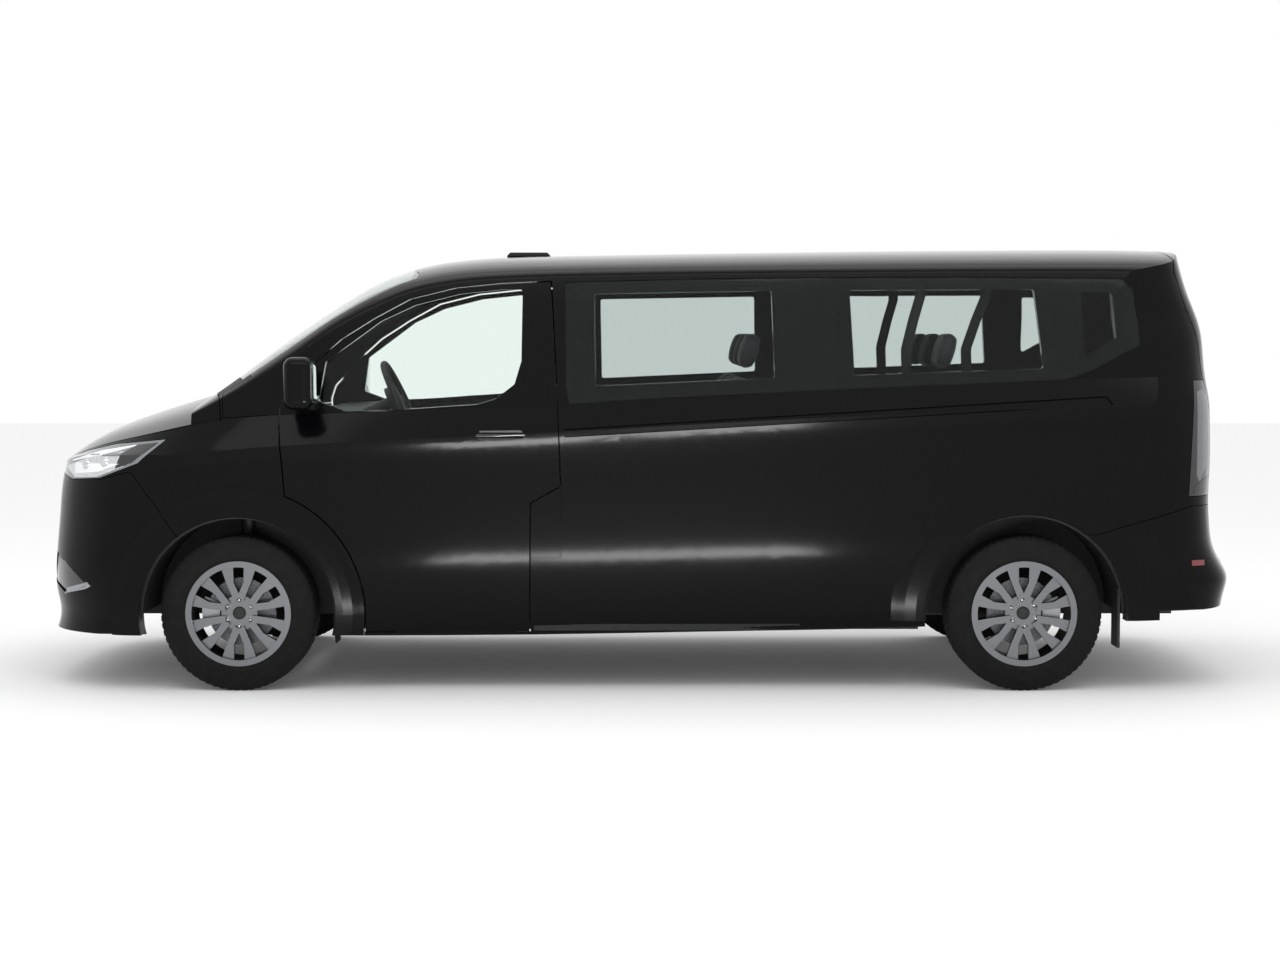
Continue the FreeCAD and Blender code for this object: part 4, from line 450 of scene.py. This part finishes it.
# Lamps: acrylic lenses over metallised bowls in front, red and smoked acrylic behind.
lens, tree, shader, place = finish_of("headlamp_acrylic", "#6b6e72", 0.10, Coat_Weight=1.0)
dress(lens, "headlamps")
red_lens, tree, shader, place = finish_of("red_lamp_acrylic", "#6e0a0c", 0.12, Coat_Weight=1.0)
flutes = add(tree, "ShaderNodeTexWave", Vector=place, Scale=60, bands_direction="Z")
bump = add(tree, "ShaderNodeBump", Height=flutes.outputs["Fac"], Distance=0.3 / 1000)
tree.links.new(bump.outputs["Normal"], shader.inputs["Normal"])
smoked_lens, tree, shader, place = finish_of("smoked_lamp_acrylic", "#0e0d0e", 0.12,
                                             Coat_Weight=1.0, Coat_IOR=1.35)
flutes = add(tree, "ShaderNodeTexWave", Vector=place, Scale=60, bands_direction="Z")
bump = add(tree, "ShaderNodeBump", Height=flutes.outputs["Fac"], Distance=0.2 / 1000)
tree.links.new(bump.outputs["Normal"], shader.inputs["Normal"])
dress(smoked_lens, "tail_lamps")
metallised, tree, shader, place = finish_of("metallised_bowl", "#d4d6d8", 0.16, Metallic=1.0)
spots = add(tree, "ShaderNodeTexNoise", Vector=place, Scale=1000 / 8, Detail=2.0)
share = add(tree, "ShaderNodeMapRange", Value=spots.outputs["Fac"], From_Min=0.3,
            From_Max=0.7)
tint = add(tree, "ShaderNodeMix", data_type="RGBA", i0=share.outputs["Result"],
           i6=linear("#c3c5c8"), i7=linear("#e2e3e5"))
tree.links.new(tint.outputs[2], shader.inputs["Base Color"])
diffuser, tree, shader, place = finish_of("opal_light_guide", "#e9ecee", 0.25, Coat_Weight=0.5)
ribs = add(tree, "ShaderNodeTexWave", Vector=place, Scale=110, bands_direction="X")
bump = add(tree, "ShaderNodeBump", Height=ribs.outputs["Fac"], Distance=0.2 / 1000)
tree.links.new(bump.outputs["Normal"], shader.inputs["Normal"])
smoked_guide, tree, shader, place = finish_of("smoked_light_guide", "#55565a", 0.18,
                                              Coat_Weight=1.0)
ribs = add(tree, "ShaderNodeTexWave", Vector=place, Scale=70, bands_direction="Z")
bump = add(tree, "ShaderNodeBump", Height=ribs.outputs["Fac"], Distance=0.5 / 1000)
tree.links.new(bump.outputs["Normal"], shader.inputs["Normal"])
gloss_black, tree, shader, place = finish_of("gloss_black_moulding", "#060607", 0.12,
                                             Coat_Weight=0.7, Coat_Roughness=0.05)
swirl = add(tree, "ShaderNodeTexNoise", Vector=place, Scale=30, Detail=1.0)
bump = add(tree, "ShaderNodeBump", Height=swirl.outputs["Fac"], Distance=0.04 / 1000)
tree.links.new(bump.outputs["Normal"], shader.inputs["Normal"])

# Headlamps: each smoked housing carries a bright reflector wedge, two projector bowls, two
# white light blades and a black tip at the rear.
for side, out in (("left", -1), ("right", 1)):
    facing = "-Y" if out < 0 else "+Y"
    pressed("lamp_reflector_" + side, facing,
            ((-2.600, 0.990), (-2.540, 0.944), (-2.420, 0.952), (-2.290, 1.000), (-2.210, 1.078),
             (-2.430, 1.050)), ("headlamps",), 0.001, 0.002, metallised, "body")
    pressed("lamp_bezel_" + side, facing,
            ((-2.330, 0.990), (-2.250, 1.018), (-2.140, 1.106), (-2.230, 1.096), (-2.300, 1.060)),
            ("headlamps",), 0.003, 0.002, gloss_black, "body")
    pressed("running_light_" + side, facing,
            ((-2.560, 1.008), (-2.400, 1.050), (-2.250, 1.082), (-2.240, 1.096), (-2.400, 1.070),
             (-2.560, 1.022)), ("headlamps",), 0.004, 0.003, diffuser, "body")
    pressed("lamp_lower_blade_" + side, facing,
            ((-2.540, 0.950), (-2.400, 0.962), (-2.300, 1.000), (-2.310, 1.012), (-2.410, 0.976),
             (-2.540, 0.962)), ("headlamps",), 0.004, 0.003, diffuser, "body")
    for spot, (x, z) in enumerate(((-2.470, 1.006), (-2.375, 1.018))):
        y = skin_at("headlamps", x, z, out) - out * 0.010
        bpy.ops.mesh.primitive_uv_sphere_add(segments=32, ring_count=16, radius=0.026,
                                             location=(x, y, z))
        bowl = bpy.context.object
        edit(bowl)
        pick(bowl, lambda c, n: (c.y - y) * out > 0.012)
        bpy.ops.transform.translate(value=(0, -out * 0.004, 0))
        bpy.ops.object.mode_set(mode="OBJECT")
        settle(bowl, "lamp_projector_%s_%d" % (side, spot), metallised, "body")

# Tail lamps: tall smoked clusters with a pale fluted light guide down their rear edge.
for side, out in (("left", -1), ("right", 1)):
    facing = "-Y" if out < 0 else "+Y"
    pressed("tail_guide_" + side, facing,
            ((2.487, 1.330), (2.485, 0.960), (2.500, 0.930), (2.540, 1.000), (2.540, 1.310),
             (2.520, 1.345)), ("tail_lamps",), 0.0015, 0.003, smoked_guide, "body", cells=40)
    pressed("tail_foot_" + side, facing,
            ((2.470, 0.880), (2.478, 0.915), (2.560, 0.960), (2.560, 0.880)),
            ("tail_lamps",), 0.002, 0.003, gloss_black, "body")


# Front and rear trims: a satin-chromed rim over the grille, black bars across the lower
# intake, blank plates of reflective film, and a gloss black strip round the tailgate pull.
satin_metal, tree, shader, place = finish_of("satin_chromed_moulding", "#9fa1a5", 0.28,
                                             Metallic=1.0)
spots = add(tree, "ShaderNodeTexNoise", Vector=place, Scale=1000 / 5, Detail=2.0)
share = add(tree, "ShaderNodeMapRange", Value=spots.outputs["Fac"], From_Min=0.3,
            From_Max=0.7)
tint = add(tree, "ShaderNodeMix", data_type="RGBA", i0=share.outputs["Result"],
           i6=linear("#94969a"), i7=linear("#acaeb2"))
tree.links.new(tint.outputs[2], shader.inputs["Base Color"])
plate_white, tree, shader, place = finish_of("reflective_plate_film", "#d9dad8", 0.35)
beads = add(tree, "ShaderNodeTexVoronoi", Vector=place, Scale=500)
bump = add(tree, "ShaderNodeBump", Height=beads.outputs["Distance"], Distance=0.05 / 1000)
tree.links.new(bump.outputs["Normal"], shader.inputs["Normal"])
silvered, tree, shader, place = finish_of("silvered_mirror_glass", "#dfe2e4", 0.02,
                                          Metallic=1.0)
film = add(tree, "ShaderNodeTexNoise", Vector=place, Scale=8)
haze = add(tree, "ShaderNodeMapRange", Value=film.outputs["Fac"], To_Min=0.01, To_Max=0.05)
tree.links.new(haze.outputs["Result"], shader.inputs["Roughness"])
pressed("grille_rim_top", "-X", ((-0.500, 0.990), (0.500, 0.990), (0.500, 1.000),
                                 (-0.500, 1.000)), ("grille",), 0.012, 0.012, satin_metal,
        "body", cells=48, bevel=0.002)
for row, z in enumerate((0.440, 0.480, 0.520)):
    pressed("intake_bar_%d" % row, "-X", ((-0.395, z - 0.006), (0.395, z - 0.006),
                                          (0.405, z + 0.006), (-0.405, z + 0.006)),
            ("front_bumper",), 0.012, 0.012, gloss_black, "body", cells=48, bevel=0.0015)
pressed("front_plate", "-X", ((-0.260, 0.600), (0.260, 0.600), (0.260, 0.710), (-0.260, 0.710)),
        ("front_bumper",), 0.006, 0.004, plate_white, "body", bevel=0.001)
pressed("rear_plate", "+X", ((-0.260, 0.760), (0.260, 0.760), (0.260, 0.870), (-0.260, 0.870)),
        ("tailgate",), 0.004, 0.003, plate_white, "tailgate", bevel=0.001)
pressed("tail_handle_strip", "+X", ((-0.330, 0.930), (0.330, 0.930), (0.330, 0.975),
                                    (-0.330, 0.975)), ("tailgate",), 0.010, 0.010, gloss_black,
        "tailgate", bevel=0.003)
pressed("rear_step_pad", "+Z", ((2.560, -0.700), (2.650, -0.700), (2.650, 0.700),
                                (2.560, 0.700)), ("rear_bumper",), 0.002, 0.003, grained,
        "body", cells=60)

# Mirror glasses: silvered convex glass let into the rear of each housing.
for side, out in (("left", -1), ("right", 1)):
    pressed("mirror_glass_" + side, "+X",
            tuple((out * y, z) for y, z in ((1.000, 1.290), (1.110, 1.290), (1.122, 1.310),
                                            (1.122, 1.450), (1.100, 1.468), (1.000, 1.462),
                                            (0.985, 1.440), (0.985, 1.310))),
            ("mirror_" + side,), 0.001, 0.002, silvered, "door_" + side)

# Deflectors: small rubber blades screwed under the sills behind the front wheels.
for side, out in (("left", -1), ("right", 1)):
    bpy.ops.mesh.primitive_cube_add(size=1, location=(-1.352, out * 0.905, 0.315))
    blade = bpy.context.object
    blade.scale = (0.008, 0.140, 0.050)
    bpy.ops.object.transform_apply(location=True, scale=True)
    edit(blade)
    pick(blade, lambda c, n: n.z < -0.9)
    for step in range(2):
        bpy.ops.mesh.extrude_region_move(TRANSFORM_OT_translate={"value": (0.004, 0, -0.0375)})
    bpy.ops.mesh.select_all(action="SELECT")
    bpy.ops.mesh.bevel(offset=0.003, segments=2)
    bpy.ops.object.mode_set(mode="OBJECT")
    settle(blade, "deflector_" + side, rubber, "body")


# Handle dishes: gloss black moulded cups sunk in each front door behind its pull bar.
for side, out in (("left", -1), ("right", 1)):
    pressed("handle_dish_" + side, "-Y" if out < 0 else "+Y",
            ((-0.700, 1.120), (-0.520, 1.124), (-0.500, 1.142), (-0.520, 1.164), (-0.700, 1.162),
             (-0.722, 1.140)), ("front_door_" + side,), 0.0015, 0.003, gloss_black,
            "door_" + side, bevel=0.001)

# Reflectors: red moulded prisms low on each rear corner.
for side, out in (("left", -1), ("right", 1)):
    facing = "-Y" if out < 0 else "+Y"
    pressed("rear_reflector_" + side, facing,
            ((2.462, 0.560), (2.524, 0.560), (2.524, 0.584), (2.462, 0.584)),
            ("rear_bumper",), 0.003, 0.006, red_lens, "body")

# Lower bumper and sill: a gloss black fog recess with a satin blade at each front corner,
# and an unpainted moulding along the left sill that takes the stone chips.
for side, out in (("left", -1), ("right", 1)):
    facing = "-Y" if out < 0 else "+Y"
    pressed("fog_surround_" + side, facing,
            ((-2.640, 0.570), (-2.600, 0.560), (-2.480, 0.466), (-2.600, 0.424), (-2.670, 0.470)),
            ("front_bumper",), 0.001, 0.003, gloss_black, "body")
    pressed("fog_blade_" + side, facing,
            ((-2.585, 0.444), (-2.470, 0.478), (-2.452, 0.462), (-2.480, 0.448), (-2.600, 0.418)),
            ("front_bumper",), 0.008, 0.006, satin_metal, "body", bevel=0.001)
pressed("sill_moulding_left", "-Y",
        ((-1.200, 0.270), (1.250, 0.300), (1.250, 0.270), (-1.200, 0.240)),
        ("body_side_left",), 0.002, 0.004, grained, "body", cells=60)


# Cabin: soft-feel injection mouldings, with woven upholstery on the seats.
moulding, tree, shader, place = finish_of("cabin_moulding", "#232427", 0.6)
leather = add(tree, "ShaderNodeTexVoronoi", Vector=place, Scale=420)
bump = add(tree, "ShaderNodeBump", Height=leather.outputs["Distance"], Distance=0.15 / 1000)
tree.links.new(bump.outputs["Normal"], shader.inputs["Normal"])
dress(moulding, "dashboard", "steering_wheel")


# Seats: foam cushions, backs and head restraints in woven cloth on moulded plinths. Two
# single seats stand in front and two three-place benches behind, each place with its pads.
back_lean = Matrix.Rotation(math.radians(16), 4, "Y")
cushion_height = 0.8353


def foam_pad(name, size, seams):
    """One foam pad about its own middle: a rounded block puffed out by cloth pressure."""
    bpy.ops.mesh.primitive_cube_add(size=1)
    piece = bpy.context.object
    piece.scale = [s - 0.010 for s in size]
    bpy.ops.object.transform_apply(scale=True)
    edit(piece)
    bpy.ops.mesh.select_all(action="SELECT")
    bpy.ops.mesh.bevel(offset=0.024, segments=3)
    bpy.ops.object.mode_set(mode="OBJECT")
    block = piece.modifiers.new("foam", "REMESH")
    block.voxel_size = 0.016
    bpy.ops.object.modifier_apply(modifier="foam")
    first = [v.co.copy() for v in piece.data.vertices]
    cover = piece.modifiers.new("cover", "CLOTH")
    cover.settings.use_pressure = True
    cover.settings.uniform_pressure_force = 4
    cover.settings.effector_weights.gravity = 0
    for step in range(1, 16):
        scene.frame_set(step)
    bpy.ops.object.modifier_apply(modifier="cover")
    scene.frame_set(1)
    for vertex, start in zip(piece.data.vertices, first):
        move = vertex.co - start
        vertex.co = start + move * min(1, 0.022 / max(move.length, 1e-6))
    soft = piece.modifiers.new("soft", "SUBSURF")
    soft.levels = soft.render_levels = 1
    bpy.ops.object.modifier_apply(modifier="soft")
    for vertex in piece.data.vertices:
        for seam in seams:
            dip = 0.006 * math.exp(-((abs(vertex.co.y) - seam) / 0.009) ** 2)
            vertex.co = vertex.co - vertex.normal * dip
    return settle(piece, name, cloth, "body", angle=80)


def seat_place(foot, y, wide, name, cushion_piece, back_piece, rest_piece):
    """Pads of one place, with the back leant as its frame is."""
    pivot = Vector((foot - 0.030, y, cushion_height))
    back_middle = back_lean @ Vector((0.050, 0, 0.305)) + pivot
    rest_middle = back_lean @ Vector((0.040, 0, 0.715)) + pivot
    seat_middle = Vector((foot - 0.240, y, cushion_height))
    for piece, turn, middle in ((cushion_piece, None, seat_middle),
                                (back_piece, back_lean, back_middle),
                                (rest_piece, back_lean, rest_middle)):
        made = piece.copy()
        made.data = piece.data.copy()
        scene.collection.objects.link(made)
        made.data.transform(Matrix.Diagonal((1, 1 if piece is rest_piece else wide, 1, 1)))
        if turn:
            made.data.transform(turn)
        made.data.transform(Matrix.Translation(middle))
        made.name = "%s_%s" % (piece.name.replace("_pattern", ""), name)
        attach(made, "body")
        yield made


# Woven charcoal polyester: 1.5 mm threads drawn at 4 mm, slightly lighter on the crowns.
cloth, tree, shader, place = finish_of("woven_charcoal_polyester", "#2a2b2e", 0.88,
                                       Sheen_Weight=0.35)
across = add(tree, "ShaderNodeTexWave", Vector=place, Scale=125, bands_direction="Y",
             Distortion=0.6)
upright = add(tree, "ShaderNodeTexWave", Vector=place, Scale=125, bands_direction="Z",
              Distortion=0.6)
weave = add(tree, "ShaderNodeMath", operation="MAXIMUM", i0=across.outputs["Fac"],
            i1=upright.outputs["Fac"])
bump = add(tree, "ShaderNodeBump", Height=weave.outputs[0], Distance=0.5 / 1000)
tree.links.new(bump.outputs["Normal"], shader.inputs["Normal"])
spots = add(tree, "ShaderNodeTexNoise", Vector=place, Scale=1000 / 18, Detail=2.0)
share = add(tree, "ShaderNodeMapRange", Value=spots.outputs["Fac"], From_Min=0.3,
            From_Max=0.75)
tint = add(tree, "ShaderNodeMix", data_type="RGBA", i0=share.outputs["Result"],
           i6=linear("#232427"), i7=linear("#35363a"))
tree.links.new(tint.outputs[2], shader.inputs["Base Color"])
cushion = foam_pad("seat_cushion_pattern", (0.480, 0.490, 0.110), (0.150,))
back = foam_pad("seat_back_pattern", (0.100, 0.490, 0.610), (0.150,))
rest = foam_pad("head_restraint_pattern", (0.080, 0.260, 0.170), ())
front_foot, second_foot, third_foot, front_seat_side = -0.48505, 0.29975, 1.1990, 0.4064
front_pads = [made for y, side in ((-front_seat_side, "left"), (front_seat_side, "right"))
              for made in seat_place(front_foot, y, 1.0, "front_" + side, cushion, back, rest)]
bench_pads = [made for foot, row in ((second_foot, "second"), (third_foot, "third"))
              for spot, y in enumerate((-0.530, 0.0, 0.530))
              for made in seat_place(foot, y, 1.06, "%s_%d" % (row, spot), cushion, back, rest)]
for pattern in (cushion, back, rest):
    bpy.data.objects.remove(pattern)
for made in front_pads:
    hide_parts("front_seats")
for made in bench_pads:
    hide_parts("bench_seats")

# Plinths are injection-moulded covers over the slide frames, with a raised top panel and rounded
# edges.
for name, foot, y, half in (("front_left", front_foot, -front_seat_side, 0.200),
                            ("front_right", front_foot, front_seat_side, 0.200),
                            ("second_row", second_foot, 0, 0.750),
                            ("third_row", third_foot, 0, 0.750)):
    bpy.ops.mesh.primitive_cube_add(size=1, location=(foot - 0.225, y, 0.6450))
    plinth = bpy.context.object
    plinth.scale = (0.390, 2 * half, 0.349)
    bpy.ops.object.transform_apply(scale=True, location=True)
    edit(plinth)
    pick(plinth, lambda c, n: n.z > 0.9)
    bpy.ops.mesh.inset(thickness=0.030)
    bpy.ops.mesh.extrude_region_move(TRANSFORM_OT_translate={"value": (0, 0, 0.012)})
    bpy.ops.mesh.select_all(action="SELECT")
    bpy.ops.mesh.bevel(offset=0.012, segments=3)
    bpy.ops.object.mode_set(mode="OBJECT")
    settle(plinth, "seat_plinth_" + name, moulding, "body")
    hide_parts("front_seats" if "front" in name else "bench_seats")


# Belts: 48 mm polyester webbing. Each strap is a flat woven ribbon that hangs from its
# pillar loop down behind the rearmost bench and lies on a shoulder.
webbing, tree, shader, place = finish_of("black_belt_webbing", "#141416", 0.75)
twill = add(tree, "ShaderNodeTexWave", Vector=place, Scale=160, bands_direction="DIAGONAL")
bump = add(tree, "ShaderNodeBump", Height=twill.outputs["Fac"], Distance=0.3 / 1000)
tree.links.new(bump.outputs["Normal"], shader.inputs["Normal"])
for name, x, y, foot in (("belt_left", 1.275, -0.700, 1.215),
                         ("belt_middle", 1.585, -0.600, 1.500),
                         ("belt_right", 1.300, 0.690, 1.240)):
    bpy.ops.mesh.primitive_cube_add(size=1, location=(x, y, 1.790))
    strap = bpy.context.object
    strap.scale = (0.048, 0.0016, 0.060)
    bpy.ops.object.transform_apply(scale=True, location=True)
    edit(strap)
    pick(strap, lambda c, n: n.z < -0.9)
    swing = (foot - x) * 0.5
    for move in ((swing, 0.012, -0.11), (swing, 0.010, -0.13), (0.006, 0.004, -0.17)):
        bpy.ops.mesh.extrude_region_move(TRANSFORM_OT_translate={"value": move})
    bpy.ops.object.mode_set(mode="OBJECT")
    settle(strap, name, webbing, "body", angle=60)


# Studio: a pale seamless floor and a white surround, with two soft boxes overhead and one
# lying beside the vehicle, which draws the light band along its doors.
bpy.ops.mesh.primitive_plane_add(size=60, location=(0, 0, 0))
floor = bpy.context.object
floor.name = "studio_floor"
paper, tree, shader, place = finish_of("seamless_paper", "#f6f6f6", 0.95,
                                       Specular_IOR_Level=0.0)
rays = add(tree, "ShaderNodeLightPath")
mirrored = add(tree, "ShaderNodeMath", operation="MAXIMUM", i0=rays.outputs["Is Glossy Ray"],
               i1=rays.outputs["Is Transmission Ray"])
through = add(tree, "ShaderNodeMath", operation="MAXIMUM", i0=rays.outputs["Is Camera Ray"],
              i1=mirrored.outputs[0])
lift = add(tree, "ShaderNodeMath", operation="MULTIPLY", i0=through.outputs[0], i1=0.04)
tree.links.new(lift.outputs[0], shader.inputs["Emission Strength"])
shader.inputs["Emission Color"].default_value = linear("#ffffff")
floor.data.materials.append(paper)

world = bpy.data.worlds.new("studio")
scene.world = world
world.use_nodes = True
tree = world.node_tree
tree.nodes.clear()
path = add(tree, "ShaderNodeLightPath")
mirrored = add(tree, "ShaderNodeMath", operation="MAXIMUM", i0=path.outputs["Is Glossy Ray"],
               i1=path.outputs["Is Transmission Ray"])
seen = add(tree, "ShaderNodeMath", operation="MAXIMUM", i0=path.outputs["Is Camera Ray"],
           i1=mirrored.outputs[0])
white = add(tree, "ShaderNodeBackground", Color=linear("#ffffff"), Strength=1.0)
fill = add(tree, "ShaderNodeBackground", Color=linear("#ffffff"), Strength=0.95)
mix = add(tree, "ShaderNodeMixShader", i0=seen.outputs[0], i1=fill.outputs[0],
          i2=white.outputs[0])
add(tree, "ShaderNodeOutputWorld", i0=mix.outputs[0])

for at, turn, size, power in (((0, -5, 6.0), (35, 0, 0), (8, 2.2), 90),
                              ((0, 1, 7.0), (0, 0, 0), (8, 4), 90),
                              ((-0.1, -5.6, 0.02), (180, 0, 0), (2.4, 2.1), 560)):
    bpy.ops.object.light_add(type="AREA", location=at, rotation=[math.radians(a) for a in turn])
    lamp = bpy.context.object
    lamp.data.shape = "RECTANGLE"
    lamp.data.size, lamp.data.size_y = size
    lamp.data.energy = power
    lamp.visible_camera = False

bpy.ops.object.camera_add(location=(0.007, -11.5, 1.60),
                          rotation=(math.radians(90 - 3.572), 0, 0))
camera = bpy.context.object
camera.data.sensor_width = 36
camera.data.lens = 66.94
scene.camera = camera
scene.view_settings.view_transform = "Standard"
